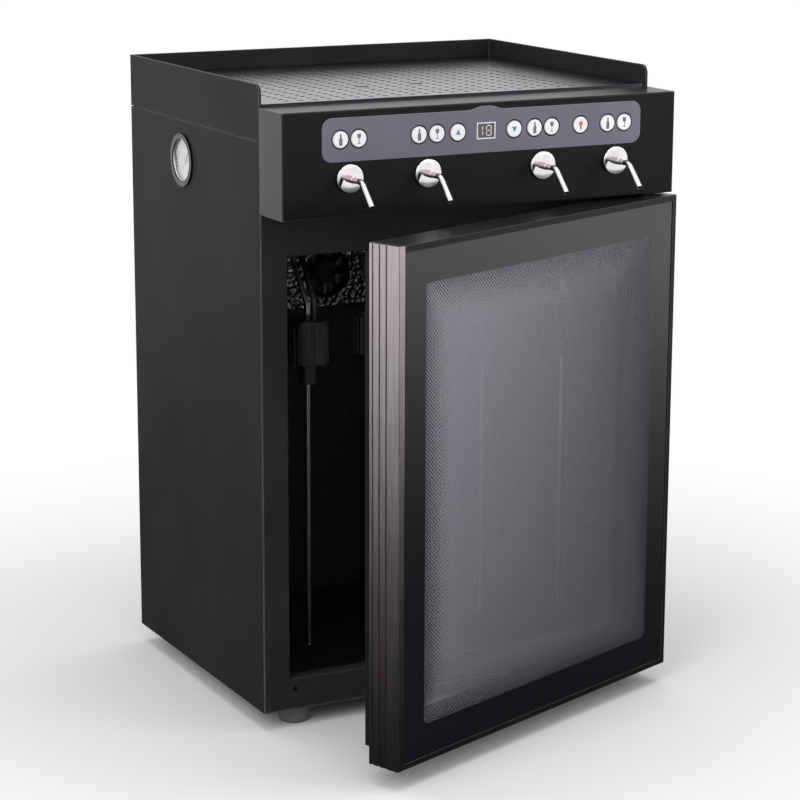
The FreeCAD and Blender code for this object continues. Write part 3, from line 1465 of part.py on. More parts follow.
def control_board():
    """Circuit board with a key switch behind each cap, and its main parts on the back."""
    sheet_z = ("CONSOLE_LOW + overlay_low + board_margin", "CONSOLE_LOW + overlay_high - board_margin")
    parts = [
        block(
            "board_sheet",
            ("-OVERLAY_SIDE + board_margin", "OVERLAY_SIDE - board_margin"),
            ("BOARD_FRONT", "BOARD_FRONT + board_thickness"),
            sheet_z,
        )
    ]
    for name, x in BUTTONS.items():
        parts.append(
            block(
                f"{name}_switch",
                (f"{x} - switch_side / 2", f"{x} + switch_side / 2"),
                ("FLANGE_FRONT + button_flange_depth + button_travel + 0.3", "BOARD_FRONT + 0.1"),
                ("BUTTON_Z - switch_side / 2", "BUTTON_Z + switch_side / 2"),
            )
        )
    for name, x, wide, deep, tall in (
        ("relay", -120, 24, 9, 20),
        ("controller", 0, 14, 3, 14),
        ("connector", 55, 30, 8, 12),
        ("capacitor", 130, 10, 12, 20),
    ):
        parts.append(
            block(
                f"board_{name}",
                (f"{x} - {wide} / 2", f"{x} + {wide} / 2"),
                ("BOARD_FRONT + board_thickness - 0.1", f"BOARD_FRONT + board_thickness + {deep}"),
                (f"BUTTON_Z - {tall} / 2", f"BUTTON_Z + {tall} / 2"),
            )
        )
    through = ("screw_radius", "board_thickness + 2")
    holes = [
        rod(f"board_hole_{i}", "Y", (x, "BOARD_FRONT - 1", "BUTTON_Z"), *through)
        for i, x in enumerate(BOSSES)
    ]
    node("control_board", cut("control_board_cut", fuse("control_board_solid", *parts), *holes))


def taps():
    """Chrome discs and bent spout tubes."""
    radius, rise, rim = num("escutcheon_radius"), num("escutcheon_rise"), num("escutcheon_rim")
    hole = num("spout_radius + 0.1")
    collar = num("spout_radius + 2")
    at = lambda r, y: FreeCAD.Vector(r, -y, 0)
    edges = [
        Part.LineSegment(at(hole, 0), at(radius, 0)),
        Part.LineSegment(at(radius, 0), at(radius, rim)),
        Part.Arc(at(radius, rim), at(radius * 0.68, rise * 0.84), at(collar, rise)),
        Part.LineSegment(at(collar, rise), at(collar, rise + 1.5)),
        Part.LineSegment(at(collar, rise + 1.5), at(hole, rise + 1.5)),
        Part.LineSegment(at(hole, rise + 1.5), at(hole, 0)),
    ]
    profile = Part.Face(Part.Wire([edge.toShape() for edge in edges]))
    disc = profile.revolve(FreeCAD.Vector(), FreeCAD.Vector(0, 1, 0), 360)
    discs, tubes = [], []
    for x in TAPS:
        here = disc.copy()
        here.translate(vec(x, "CONSOLE_FRONT", "TAP_Z"))
        discs.append(here)
        reach = "spout_straight + spout_bend * tan(spout_turn * 0.5 deg)"
        corner = vec(x, f"CONSOLE_FRONT - ({reach})", "TAP_Z")
        fall = num("spout_drop")
        mouth = corner - FreeCAD.Vector(0, fall / math.tan(math.radians(num("spout_turn"))), fall)
        points = [vec(x, "SHELL_BACK + spout_tail", "TAP_Z"), corner, mouth]
        tubes.append(tube_along(points, num("spout_bend"), num("spout_radius"), num("spout_wall")))
    node("tap_escutcheons", feature("escutcheons_shape", Part.makeCompound(discs)))
    node("tap_spouts", feature("spouts_shape", Part.makeCompound(tubes)))


# Door, built shut and then swung about its hinge axis


def swing(thing):
    """Turn a finished door piece about the hinge axis."""
    turn = "(door_angle * 1 deg)"
    thing.Placement = FreeCAD.Placement(FreeCAD.Vector(), FreeCAD.Rotation(FreeCAD.Vector(0, 0, 1), 1))
    thing.setExpression("Placement.Rotation.Angle", formula("door_angle"))
    place(
        thing,
        f"HINGE_X - HINGE_X * cos{turn} + HINGE_Y * sin{turn}",
        f"HINGE_Y - HINGE_X * sin{turn} - HINGE_Y * cos{turn}",
        "0",
    )
    return thing


def door_frame():
    """Door frame with a recess for the panes, a ledge behind them and bores for the hinge bushes."""
    outer = block(
        "door_outer",
        ("FRAME_FREE", "RIGHT"),
        ("DOOR_FRONT", "DOOR_BACK"),
        ("DOOR_LOW", "DOOR_TOP"),
    )
    recess = block(
        "door_recess",
        ("FRAME_FREE - 1", "RIGHT - door_rim"),
        ("DOOR_FRONT - 1", "GLASS_BACK"),
        ("DOOR_LOW + door_rim", "DOOR_TOP - door_rim"),
    )
    window = block(
        "door_window",
        ("FRAME_FREE + door_ledge", "RIGHT - door_rim - door_ledge"),
        ("DOOR_FRONT - 1", "DOOR_BACK + 1"),
        ("DOOR_LOW + door_rim + door_ledge", "DOOR_TOP - door_rim - door_ledge"),
    )
    bores = [
        rod(f"door_{name}_bore", "Z", ("HINGE_X", "HINGE_Y", z), "pin_radius + bush_wall", "pin_length + 2")
        for name, z in (("low", "DOOR_LOW - 1"), ("top", "DOOR_TOP - pin_length - 1"))
    ]
    node("door_frame", swing(cut("door_frame_cut", outer, recess, window, *bores)))


def hinge_bushes():
    """Flanged nylon bushes at the door's top and bottom."""
    parts = []
    at = lambda z: ("HINGE_X", "HINGE_Y", z)
    wide = "pin_radius + bush_wall"
    length = "pin_length + 1 + bush_flange"
    for name, low, flange in (
        ("low", "DOOR_LOW - bush_flange", "DOOR_LOW - bush_flange"),
        ("top", "DOOR_TOP - pin_length - 1", "DOOR_TOP"),
    ):
        barrel = rod(f"{name}_bush_barrel", "Z", at(low), wide, length)
        collar = rod(f"{name}_bush_collar", "Z", at(flange), f"{wide} + 1.5", "bush_flange")
        bore = "pin_radius + running_clearance"
        hole = rod(f"{name}_bush_hole", "Z", at(f"{low} - 1"), bore, f"{length} + 2")
        parts.append(cut(f"{name}_bush", fuse(f"{name}_bush_solid", barrel, collar), hole))
    node("hinge_bushes", swing(group("hinge_bushes_group", *parts)))


def door_handle():
    """Fluted handle rail along the door's free edge."""
    owner = body("door_handle")
    flutes = []
    for i in range(3):
        middle = f"door_thickness - flute_first - {i} * flute_pitch"
        flutes += [
            ("0", f"{middle} + flute_width / 2"),
            ("flute_depth", f"{middle} + flute_width / 2"),
            ("flute_depth", f"{middle} - flute_width / 2"),
            ("0", f"{middle} - flute_width / 2"),
        ]
    profile = outline(
        sketch(owner, "handle_profile", "XY_Plane", x="DOOR_FREE", y="DOOR_FRONT", z="DOOR_LOW"),
        [
            ("0", "0"),
            ("handle_width", "0"),
            ("handle_width", "door_thickness"),
            ("0", "door_thickness"),
            *flutes,
        ],
    )
    pad(owner, "handle_rail", profile, "DOOR_TOP - DOOR_LOW")
    x = num("DOOR_FREE")
    ends = (num("DOOR_FRONT"), num("DOOR_BACK"))

    def nose(edge):
        box = edge.BoundBox
        outside = abs(box.XMin - x) < 0.01 and min(abs(box.YMin - end) for end in ends) < 0.01
        return along("Z")(edge) and outside

    rounded(owner, "handle_nose", "handle_round", nose)
    node("door_handle", swing(owner))


def pane(name, front, thickness):
    glass = block(
        f"{name}_blank",
        ("FRAME_FREE + glass_gap", "RIGHT - GLASS_EDGE"),
        (front, f"{front} + {thickness}"),
        ("DOOR_LOW + GLASS_EDGE", "DOOR_TOP - GLASS_EDGE"),
    )
    return group(name, glass)


def ring(name, x, y, z, width):
    """A rectangular ring lying in the door's plane."""
    outer = block(f"{name}_outer", x, y, z)
    inner = block(
        f"{name}_inner",
        (f"{x[0]} + {width}", f"{x[1]} - {width}"),
        (f"{y[0]} - 1", f"{y[1]} + 1"),
        (f"{z[0]} + {width}", f"{z[1]} - {width}"),
    )
    return cut(name, outer, inner)


def door_glazing():
    """Two panes with a spacer bar between them, and the gasket on the door's back."""
    rear = "GLASS_FRONT + outer_glass + glass_spacer"
    node("door_outer_glass", swing(pane("front_pane", "GLASS_FRONT", "outer_glass")))
    node("door_inner_glass", swing(pane("rear_pane", rear, "inner_glass")))
    spacer = ring(
        "spacer_bar",
        ("FRAME_FREE + glass_gap + spacer_inset", "RIGHT - GLASS_EDGE - spacer_inset"),
        ("GLASS_FRONT + outer_glass", rear),
        ("DOOR_LOW + GLASS_EDGE + spacer_inset", "DOOR_TOP - GLASS_EDGE - spacer_inset"),
        "spacer_width",
    )
    node("glass_spacer_bar", swing(spacer))
    gasket = ring(
        "gasket_ring",
        ("DOOR_FREE + gasket_inset", "RIGHT - gasket_inset"),
        ("DOOR_BACK", "FRONT - gasket_gap"),
        ("DOOR_LOW + gasket_inset", "DOOR_TOP - gasket_inset"),
        "gasket_width",
    )
    node("door_gasket", swing(gasket))


def hinge_brackets():
    """Steel brackets with their riveted pins: one under the base plate, one under the console."""
    x = ("RIGHT - bracket_edge - bracket_width", "RIGHT - bracket_edge")
    through = ("screw_radius", "bracket_sheet + 2")
    low = block(
        "low_bracket_plate",
        x,
        ("HINGE_Y - bracket_nose", "FRONT + bracket_grip"),
        ("BASE - bracket_sheet", "BASE"),
    )
    at = ("HINGE_X", "HINGE_Y", "BASE - 1")
    low_pin = rod("low_bracket_pin", "Z", at, "pin_radius", "pin_length + 1 + bush_flange")
    low_holes = [
        rod(f"low_bracket_hole_{i}", "Z", (hx, hy, "BASE - bracket_sheet - 1"), *through)
        for i, (hx, hy) in enumerate(bracket_spots())
    ]
    top = block(
        "top_bracket_plate",
        x,
        ("HINGE_Y - bracket_nose", "FRONT"),
        ("CONSOLE_LOW - bracket_sheet", "CONSOLE_LOW"),
    )
    lug = block(
        "top_bracket_lug",
        x,
        ("FRONT - bracket_sheet", "FRONT"),
        ("CONSOLE_LOW - bracket_lug", "CONSOLE_LOW"),
    )
    top_pin = rod(
        "top_bracket_pin",
        "Z",
        ("HINGE_X", "HINGE_Y", "DOOR_TOP - pin_length + bush_gap"),
        "pin_radius",
        "CONSOLE_LOW - DOOR_TOP + pin_length - bush_gap - 1",
    )
    top_holes = [
        rod(
            f"top_bracket_hole_{i}",
            "Y",
            (hx, "FRONT - bracket_sheet - 1", "CONSOLE_LOW - bracket_lug / 2"),
            *through,
        )
        for i, hx in enumerate(lug_spots())
    ]
    node(
        "hinge_brackets",
        group(
            "hinge_brackets_group",
            cut("low_bracket", fuse("low_bracket_solid", low, low_pin), *low_holes),
            cut("top_bracket", fuse("top_bracket_solid", top, lug, top_pin), *top_holes),
        ),
    )


# Drip tray


def drip_tray():
    """Perforated sheet tray with a turned-down edge; two finger slots lift it out of the hood."""
    left, right = num("LEFT + hood_sheet + tray_margin"), num("RIGHT - hood_sheet - tray_margin")
    front, back = num("FRONT + tray_setback"), num("REAR - hood_sheet - tray_margin")
    low, top, skin = num("DECK + tray_seat"), num("TRAY_TOP"), num("tray_sheet")
    upright = FreeCAD.Vector(0, 0, 1)
    corners = [(left, front), (right, front), (right, back), (left, back)]
    loop = [FreeCAD.Vector(x, y, top - skin) for x, y in corners]
    wires = [Part.makePolygon(loop + loop[:1])]
    grip, reach = num("grip_radius"), num("grip_length - 2 * grip_radius") / 2
    slots = []
    for side in (-1, 1):
        x, y = side * num("grip_pitch") / 2, num("FRONT + grip_setback")
        slots.append((x, y))
        z = top - skin
        at = lambda dx, dy: FreeCAD.Vector(x + dx, y + dy, z)
        edges = [
            Part.LineSegment(at(-reach, -grip), at(reach, -grip)),
            Part.Arc(at(reach, -grip), at(reach + grip, 0), at(reach, grip)),
            Part.LineSegment(at(reach, grip), at(-reach, grip)),
            Part.Arc(at(-reach, grip), at(-reach - grip, 0), at(-reach, -grip)),
        ]
        wires.append(Part.Wire([edge.toShape() for edge in edges]))
    pitch, radius = num("hole_pitch"), num("hole_radius")
    columns, rows = int(num("hole_columns")), int(num("hole_rows"))
    web = radius + 1
    for row in range(rows):
        for column in range(columns):
            x = (column - (columns - 1) / 2) * pitch
            y = num("FRONT + hole_first") + row * pitch
            near = [
                abs(x - sx) < reach + grip + web and abs(y - sy) < grip + web
                for sx, sy in slots
            ]
            inside = abs(x) < right - radius - 3 and y < back - radius - 3
            if inside and not any(near):
                hole = Part.Circle(FreeCAD.Vector(x, y, top - skin), upright, radius)
                wires.append(Part.Wire(hole.toShape()))
    plate = Part.Face(wires, "Part::FaceMakerBullseye").extrude(FreeCAD.Vector(0, 0, skin))
    wide, deep = right - left, back - front
    rim = Part.makeBox(wide, deep, top - low, FreeCAD.Vector(left, front, low))
    corner = FreeCAD.Vector(left + skin, front + skin, low - 1)
    inside = Part.makeBox(wide - 2 * skin, deep - 2 * skin, top - low + 2, corner)
    node("drip_tray", feature("drip_tray_shape", plate.fuse(rim.cut(inside)).removeSplitter()))


# Fasteners


def screw(name, axis, at, inward, length="screw_length"):
    """Screw whose head stands on the point and whose shank runs inward along the axis."""
    x, y, z = at
    index = "XYZ".index(axis)
    spots = [x, y, z]
    head, shank = list(spots), list(spots)
    if inward > 0:
        head[index] = f"{spots[index]} - screw_head_height"
    else:
        shank[index] = f"{spots[index]} - {length}"
    return fuse(
        name,
        rod(f"{name}_head", axis, head, "screw_head", "screw_head_height"),
        rod(f"{name}_shank", axis, shank, "screw_radius", length),
    )


def fasteners():
    """Screws of the rear panel, front frame, board, brackets and feet, and the nuts of the spouts."""
    parts = []
    for side, name in ((-1, "left"), (1, "right")):
        for i, z in enumerate(flange_heights()):
            at = (f"{side} * (RIGHT - flange_width / 2)", "REAR", z)
            parts.append(screw(f"rear_screw_{name}_{i}", "Y", at, -1, "2 * sheet"))
        at = (f"{side} * frame_screw_offset", "FRONT + screw_head_height", "BASE + frame_screw_height")
        parts.append(screw(f"frame_screw_{name}", "Y", at, 1))
    for i, x in enumerate(BOSSES):
        parts.append(screw(f"board_screw_{i}", "Y", (x, "BOARD_FRONT + board_thickness", "BUTTON_Z"), -1))
    for i, (x, y) in enumerate(bracket_spots()):
        at = (x, y, "BASE - bracket_sheet")
        parts.append(screw(f"bracket_screw_{i}", "Z", at, 1, "bracket_sheet + sheet"))
    for i, x in enumerate(lug_spots()):
        at = (x, "FRONT - bracket_sheet", "CONSOLE_LOW - bracket_lug / 2")
        parts.append(screw(f"lug_screw_{i}", "Y", at, 1))
    for i, (x, y) in enumerate(foot_spots()):
        at = (x, y, "foot_recess")
        parts.append(screw(f"foot_screw_{i}", "Z", at, 1, "BASE + sheet - foot_recess"))
    for i, x in enumerate(TAPS):
        nut = prism(f"spout_nut_{i}", "Y", (x, "SHELL_BACK", "TAP_Z"), "nut_across", "nut_height")
        at = (x, "SHELL_BACK - 1", "TAP_Z")
        hole = rod(f"spout_nut_hole_{i}", "Y", at, "spout_radius", "nut_height + 2")
        parts.append(cut(f"spout_nut_cut_{i}", nut, hole))
    node("fasteners", group("fasteners_group", *parts))


# The whole dispenser

base_plate()
side_panel(-1, "left_side_panel", True)
side_panel(1, "right_side_panel", False)
rear_panel()
front_frame()
hood()
feet()
inner_liner()
insulation_foam()
fan_cover()
fans()
cooling()
interior_lamp()
bottle_stoppers()
dip_tubes()
hoses()
gauge()
gas_works()
power()
console_housing()
keypad_overlay()
for button_name, button_x in BUTTONS.items():
    button(button_name, button_x)
display_module()
control_board()
taps()
door_frame()
hinge_bushes()
door_handle()
door_glazing()
hinge_brackets()
drip_tray()
fasteners()

doc.recompute()
faults = [thing.Name for thing in doc.Objects if "Invalid" in thing.State or "Error" in thing.State]
for label, thing in NODES.items():
    if thing.Shape.isNull() or not thing.Shape.isValid() or not thing.Shape.Solids:
        faults.append(label)
if faults:
    raise RuntimeError(f"not built: {', '.join(faults)}")

os.makedirs("parts", exist_ok=True)
for label, thing in NODES.items():
    thing.Shape.exportStep(f"parts/{label}.step")
    box = thing.Shape.BoundBox
    ends = ((box.XMin, box.XMax), (box.YMin, box.YMax), (box.ZMin, box.ZMax))
    spans = ", ".join(f"{low:.1f} to {high:.1f}" for low, high in ends)
    print(f"{label}: {len(thing.Shape.Solids)} solids, {thing.Shape.Volume / 1000:.1f} cm3, {spans}")
print(len(NODES), "nodes")
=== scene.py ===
# %% [markdown]
# A wine preservation dispenser: a chilled cabinet with a glass door that stands ajar, and a
# console with four taps above it. The solids come from the CAD model and stay where they are.
# This lesson adds their finishes, the fine pieces that CAD leaves out, a floor, lamps and a
# camera.

import json
import math

import bmesh
import bpy
from mathutils import Matrix, Vector


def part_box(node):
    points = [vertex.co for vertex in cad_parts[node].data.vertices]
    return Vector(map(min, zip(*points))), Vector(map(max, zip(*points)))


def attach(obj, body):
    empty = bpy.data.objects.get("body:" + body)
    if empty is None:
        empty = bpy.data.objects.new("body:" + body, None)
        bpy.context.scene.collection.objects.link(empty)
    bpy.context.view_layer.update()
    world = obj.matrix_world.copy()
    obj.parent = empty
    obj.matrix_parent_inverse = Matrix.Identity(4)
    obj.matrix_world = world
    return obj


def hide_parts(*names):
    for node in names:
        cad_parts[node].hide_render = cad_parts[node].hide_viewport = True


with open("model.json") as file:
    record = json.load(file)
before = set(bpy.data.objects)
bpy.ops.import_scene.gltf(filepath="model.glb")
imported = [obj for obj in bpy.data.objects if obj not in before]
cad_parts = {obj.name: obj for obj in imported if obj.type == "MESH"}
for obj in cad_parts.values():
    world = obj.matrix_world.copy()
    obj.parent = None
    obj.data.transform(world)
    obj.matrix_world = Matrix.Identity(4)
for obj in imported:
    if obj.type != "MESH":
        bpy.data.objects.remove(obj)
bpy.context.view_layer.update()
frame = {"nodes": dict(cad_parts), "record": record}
slot_of = {row["node"]: row["material_slot"] for row in frame["record"]["subparts"]}

# %% [markdown]
# Blender works in metres, and a maker thinks in millimetres, so one constant turns one into the
# other. A texture's scale counts its repeats in a metre, so it follows from the real size of a
# grain. Colours are written as sRGB hex codes, as a paint chart gives them, and one function
# makes them linear.

# %% Units and colours
MM = 0.001


def repeats(size_mm):
    """The texture scale that gives features of this size."""
    return 1 / (size_mm * MM)


def linear(code):
    """An sRGB hex code as the linear colour that a shader wants."""
    parts = [int(code[i : i + 2], 16) / 255 for i in (0, 2, 4)]
    return [c / 12.92 if c <= 0.04045 else ((c + 0.055) / 1.055) ** 2.4 for c in parts] + [1.0]


print("mid grey 808080 is", round(linear("808080")[0], 3), "in linear light")

# %% [markdown]
# A finish is a small network of nodes. Each one starts from a blank Principled shader, whose
# plain numbers are written on its own sockets, because an exported model keeps them there. One
# helper adds a node with its links and settings, and that is enough for every network below.
# Where Blender gives several sockets one name, they go by number: a Map Range takes its value,
# its range and the new range as 0 to 4, and a Mix takes its share as 0 and its two colours as 6
# and 7.

# %% Helpers for finishes
FINISHES = {}


def blank(slot, name, values):
    """A material with a Principled shader, and plain values on its sockets."""
    made = bpy.data.materials.new(name)
    made.use_nodes = True
    FINISHES[slot] = made
    for socket, value in values.items():
        made.node_tree.nodes["Principled BSDF"].inputs[socket].default_value = value
    return made


def add(material, kind, inputs, **settings):
    """One node with its settings; an input is a value or another node's output."""
    node = material.node_tree.nodes.new("ShaderNode" + kind)
    for key, value in settings.items():
        setattr(node, key, value)
    for key, value in inputs.items():
        if isinstance(value, bpy.types.NodeSocket):
            material.node_tree.links.new(value, node.inputs[key])
        else:
            node.inputs[key].default_value = value
    return node.outputs


def feed(material, outputs):
    """Links outputs to the Principled shader's sockets."""
    shader = material.node_tree.nodes["Principled BSDF"]
    for socket, output in outputs.items():
        material.node_tree.links.new(output, shader.inputs[socket])


# %% [markdown]
# Paint and plastic share one build. A fine grain gives the bump, and broad patches shift the colour a
# little. A Bevel node rounds each sharp edge in the shading, which gives the thin light line that a
# folded panel shows. Where the rounded normal parts from the true one, the skin is painted paler: partly
# wear, and partly a painted highlight along the edge.

# %% Painted and moulded skins
PATCH_MM = 90
EDGE_RADIUS_MM = 0.9
STILL_FLAT = 0.995
FULL_EDGE_WEAR_AND_HIGHLIGHT = 0.93
GLOSSIER = 0.05
ROUGHER = 0.06


def skin(slot, name, colours, edge_wear_and_highlight, roughness, grain_mm, depth_mm, values=None):
    """A grained skin in two close colours, with edges painted paler, partly wear and partly a painted
    highlight.
    """
    made = blank(slot, name, {"Roughness": roughness, **(values or {})})
    place = add(made, "TexCoord", {})["Object"]
    grain = add(made, "TexNoise", {"Vector": place, "Scale": repeats(grain_mm), "Detail": 3.0})[0]
    patches = add(made, "TexNoise", {"Vector": place, "Scale": repeats(PATCH_MM), "Detail": 2.0})[0]
    soft = add(made, "Bevel", {"Radius": EDGE_RADIUS_MM * MM}, samples=4)[0]
    true = add(made, "NewGeometry", {})["Normal"]
    facing = add(made, "VectorMath", {0: soft, 1: true}, operation="DOT_PRODUCT")[1]
    edge = add(made, "MapRange", {0: facing, 1: STILL_FLAT, 2: FULL_EDGE_WEAR_AND_HIGHLIGHT, 3: 0.0, 4: 1.0})[0]
    share = add(made, "MapRange", {0: patches, 1: 0.3, 2: 0.7, 3: 0.0, 4: 1.0})[0]
    tints = {0: share, 6: linear(colours[0]), 7: linear(colours[1])}
    body = add(made, "Mix", tints, data_type="RGBA")[2]
    # The paler edge colour stands for wear and for a painted highlight along the edge.
    paler = {0: edge, 6: body, 7: linear(edge_wear_and_highlight)}
    bump = {"Strength": 0.6, "Distance": depth_mm * MM, "Height": grain, "Normal": soft}
    gloss = {0: grain, 1: 0.2, 2: 0.8, 3: roughness - GLOSSIER, 4: roughness + ROUGHER}
    feed(
        made,
        {
            "Base Color": add(made, "Mix", paler, data_type="RGBA")[2],
            "Roughness": add(made, "MapRange", gloss)[0],
            "Normal": add(made, "Bump", bump)[0],
        },
    )
    return made


# %% [markdown]
# The panels and the hood are steel with a powder coat, baked to a fine sandy skin. The grain is
# 0.3 mm in life, too fine for this picture, so it is drawn at 1.6 mm. Powder coats of this kind
# are nearly matt, so little of their light is a reflection.

# %% Powder coats
MATT = {"Specular IOR Level": 0.03, "Specular Tint": linear("fff2f6")}
CHARCOAL = ("2a2829", "302e2f")
BLACK = ("29282a", "302f31")
skin("cabinet_paint", "steel_powder_coated_charcoal", CHARCOAL, "8e8a8d", 0.5, 1.6, 0.05, MATT)
skin("back_steel", "steel_powder_coated_black", BLACK, "767478", 0.5, 1.6, 0.05, MATT)
print("powder coats", len(FINISHES))

# %% [markdown]
# Console, front frame and door frame are injection-moulded ABS. The console's mould was polished
# to a satin, so it shines at a grazing look; the front frame's was spark-eroded, which leaves it
# matt.

# %% Moulded plastics
SATIN = {"Specular IOR Level": 0.16, "Specular Tint": linear("ffeef2")}
LOW = {"Specular IOR Level": 0.2}
GLOSS = {"Coat Weight": 0.4, "Coat Roughness": 0.08}
for slot, name, colours, edge_wear_and_highlight, roughness, grain_mm, depth_mm, values in (
    ("console_plastic", "abs_moulded_satin_black", "0c0b0c 100f10", "9a9094", 0.3, 1.4, 0.02, SATIN),
    ("frame_plastic", "abs_moulded_spark_eroded_black", "252425 2b2a2b", "565356", 0.55, 1.4, 0.05, LOW),
    ("door_plastic", "abs_moulded_smooth_black", "121112 171617", "5c585b", 0.34, 2.2, 0.015, LOW),
    ("stopper_plastic", "polypropylene_moulded_black", "0f0f10 141415", "303032", 0.4, 1.8, 0.02, {}),
    ("fan_plastic", "pbt_glass_filled_black", "08080a 0c0c0e", "1c1c1e", 0.5, 1.2, 0.04, LOW),
    ("inlet_plastic", "nylon_moulded_black", "141415 191919", "444446", 0.45, 1.2, 0.03, {}),
    ("valve_coil", "epoxy_moulded_coil", "17171a 1d1d20", "48484a", 0.4, 2.0, 0.03, {}),
    ("nylon", "nylon_moulded_natural", "d9d6cc e3e0d6", "ece9e0", 0.4, 2.0, 0.02, {}),
    ("button_caps", "abs_moulded_gloss_white", "f3f3f6 f8f8fa", "d6d5da", 0.25, 3.0, 0.01, GLOSS),
):
    skin(slot, name, colours.split(), edge_wear_and_highlight, roughness, grain_mm, depth_mm, values)
print("painted and moulded finishes", len(FINISHES))

# %% [markdown]
# The keypad is a polycarbonate film, printed grey on its back, so its front is a clear gloss over
# a quiet colour. The display's window is smoked acrylic. The dial and its needle are enamelled
# sheet.

# %% Films, windows and enamels
FILM = {"Coat Weight": 0.5, "Coat Roughness": 0.2}
WINDOW = {"Coat Weight": 0.6, "Coat Roughness": 0.05}
for slot, name, colours, edge_wear_and_highlight, roughness, grain_mm, depth_mm, values in (
    ("overlay_film", "polycarbonate_film_back_printed", "585566 625f70", "93909e", 0.35, 40, 0.06, FILM),
    ("display_block", "acrylic_cast_smoked", "3a3335 453d3f", "6a6264", 0.2, 30, 0.02, WINDOW),
    ("dial_white", "aluminium_enamelled_white", "dedde0 e6e5e8", "f0f0f2", 0.5, 2.0, 0.01, {}),
    ("needle_black", "aluminium_enamelled_black", "1a1a1b 202021", "3a3a3b", 0.4, 2.0, 0.01, {}),
    ("gauge_steel", "steel_lacquered_black", "1b1b1c 222223", "5c5c5e", 0.4, 1.5, 0.03, {}),
    ("lamp_cover", "polycarbonate_opal", "d5dae2 dfe3ea", "eef0f4", 0.35, 3.0, 0.02, {}),
    ("ceramic", "alumina_ceramic_ground", "dcdbd6 e6e5e0", "f0efec", 0.6, 1.5, 0.03, {}),
    ("board", "glass_epoxy_board_green_mask", "14402a 1a4c33", "5a7a62", 0.35, 2.5, 0.03, {}),
):
    skin(slot, name, colours.split(), edge_wear_and_highlight, roughness, grain_mm, depth_mm, values)
print("with films and enamels", len(FINISHES))

# %% [markdown]
# Rubber and foam scatter light and hardly shine. The seal and the feet are moulded rubber, dull, and
# paler at the edges, partly from dust and partly from a painted highlight. The insulation is rigid
# polyurethane, whose cells make it look like dry sponge. Hoses are extruded, so they are smooth, and the
# wine hose is dark against the light.

# %% Rubber, hose and foam
for slot, name, colours, edge_wear_and_highlight, roughness, grain_mm, depth_mm, values in (
    ("gasket_rubber", "pvc_gasket_extruded_black", "0f0f10 151516", "39383a", 0.6, 2.4, 0.08, LOW),
    ("foot_rubber", "rubber_moulded_dark_grey", "5c5c5e 666668", "98989a", 0.6, 1.8, 0.08, {}),
    ("black_hose", "polyurethane_hose_extruded_black", "151516 1c1c1d", "3a3a3c", 0.35, 4.0, 0.03, {}),
    ("clear_hose", "silicone_hose_extruded_smoke", "262527 303032", "505052", 0.25, 4.0, 0.02, {}),
    ("foam", "polyurethane_foam_rigid", "c9b98c d6c79a", "e0d3ab", 0.9, 1.2, 0.3, {}),
):
    skin(slot, name, colours.split(), edge_wear_and_highlight, roughness, grain_mm, depth_mm, values)
print("with rubber and foam", len(FINISHES))

# %% [markdown]
# A metal's look comes from its polish. A drawn tube or a brushed sheet has fine lines one way, so
# a noise is stretched along them and drives roughness and a shallow bump. Polished chrome has
# next to none, and only faint smears break its reflections.

# %% Bare metals
ALONG_Z = (1.0, 1.0, 0.04)
ALONG_X = (0.05, 1.0, 1.0)
ANY_WAY = (1.0, 1.0, 1.0)
ARRIS_MM = 0.4
GLOSS_SPAN = 0.06
LEAST_ROUGHNESS = 0.02


def metal(slot, name, colours, roughness, line_mm, stretch, depth_mm=0.01):
    """Bare metal with lines or smears; stretch slows the pattern along an axis."""
    made = blank(slot, name, {"Metallic": 1.0, "Roughness": roughness})
    place = add(made, "TexCoord", {})["Object"]
    drawn = add(made, "Mapping", {"Vector": place, "Scale": stretch})[0]
    lines = add(made, "TexNoise", {"Vector": drawn, "Scale": repeats(line_mm), "Detail": 4.0})[0]
    soft = add(made, "Bevel", {"Radius": ARRIS_MM * MM}, samples=4)[0]
    share = add(made, "MapRange", {0: lines, 1: 0.3, 2: 0.7, 3: 0.0, 4: 1.0})[0]
    smoothest = max(roughness - GLOSS_SPAN, LEAST_ROUGHNESS)
    gloss = {0: lines, 1: 0.25, 2: 0.75, 3: smoothest, 4: roughness + GLOSS_SPAN}
    bump = {"Strength": 0.5, "Distance": depth_mm * MM, "Height": lines, "Normal": soft}
    tints = {0: share, 6: linear(colours[0]), 7: linear(colours[1])}
    feed(
        made,
        {
            "Base Color": add(made, "Mix", tints, data_type="RGBA")[2],
            "Roughness": add(made, "MapRange", gloss)[0],
            "Normal": add(made, "Bump", bump)[0],
        },
    )
    return made


metal("tap_chrome", "brass_chrome_plated_polished", ("cfcccd", "dedbdc"), 0.08, 12, ANY_WAY, 0.004)
metal("gauge_chrome", "steel_black_nickel_plated", ("0b0a0b", "111011"), 0.25, 8, ANY_WAY, 0.004)
metal("dip_steel", "stainless_tube_drawn", ("a9a9ab", "bbbbbd"), 0.22, 1.5, ALONG_Z)
metal("hinge_steel", "steel_zinc_plated", ("8d8d90", "a0a0a3"), 0.34, 6, ANY_WAY, 0.02)
metal("zinc_screws", "steel_screws_black_zinc", ("3a3a3c", "4c4c4e"), 0.36, 2, ANY_WAY, 0.02)
metal("sink_aluminium", "aluminium_extruded_bare", ("a8a8aa", "b8b8ba"), 0.36, 1.6, ALONG_Z)
metal("supply_case", "aluminium_sheet_rolled", ("9c9c9e", "aeaeb0"), 0.4, 2.0, ALONG_X)
metal("spacer_steel", "aluminium_anodised_black", ("1c1b1d", "262527"), 0.4, 2.0, ALONG_X)
metal("brass_fitting", "brass_turned", ("b08d57", "c2a068"), 0.26, 1.2, ANY_WAY)
print("with metals", len(FINISHES))

# %% [markdown]
# The handle rail is extruded aluminium, anodised a warm grey, and its die leaves faint lines
# along the length. The drip tray is stainless sheet with a satin, so it mirrors the room softly:
# bright where it faces the light, dark where it faces the rail behind it.

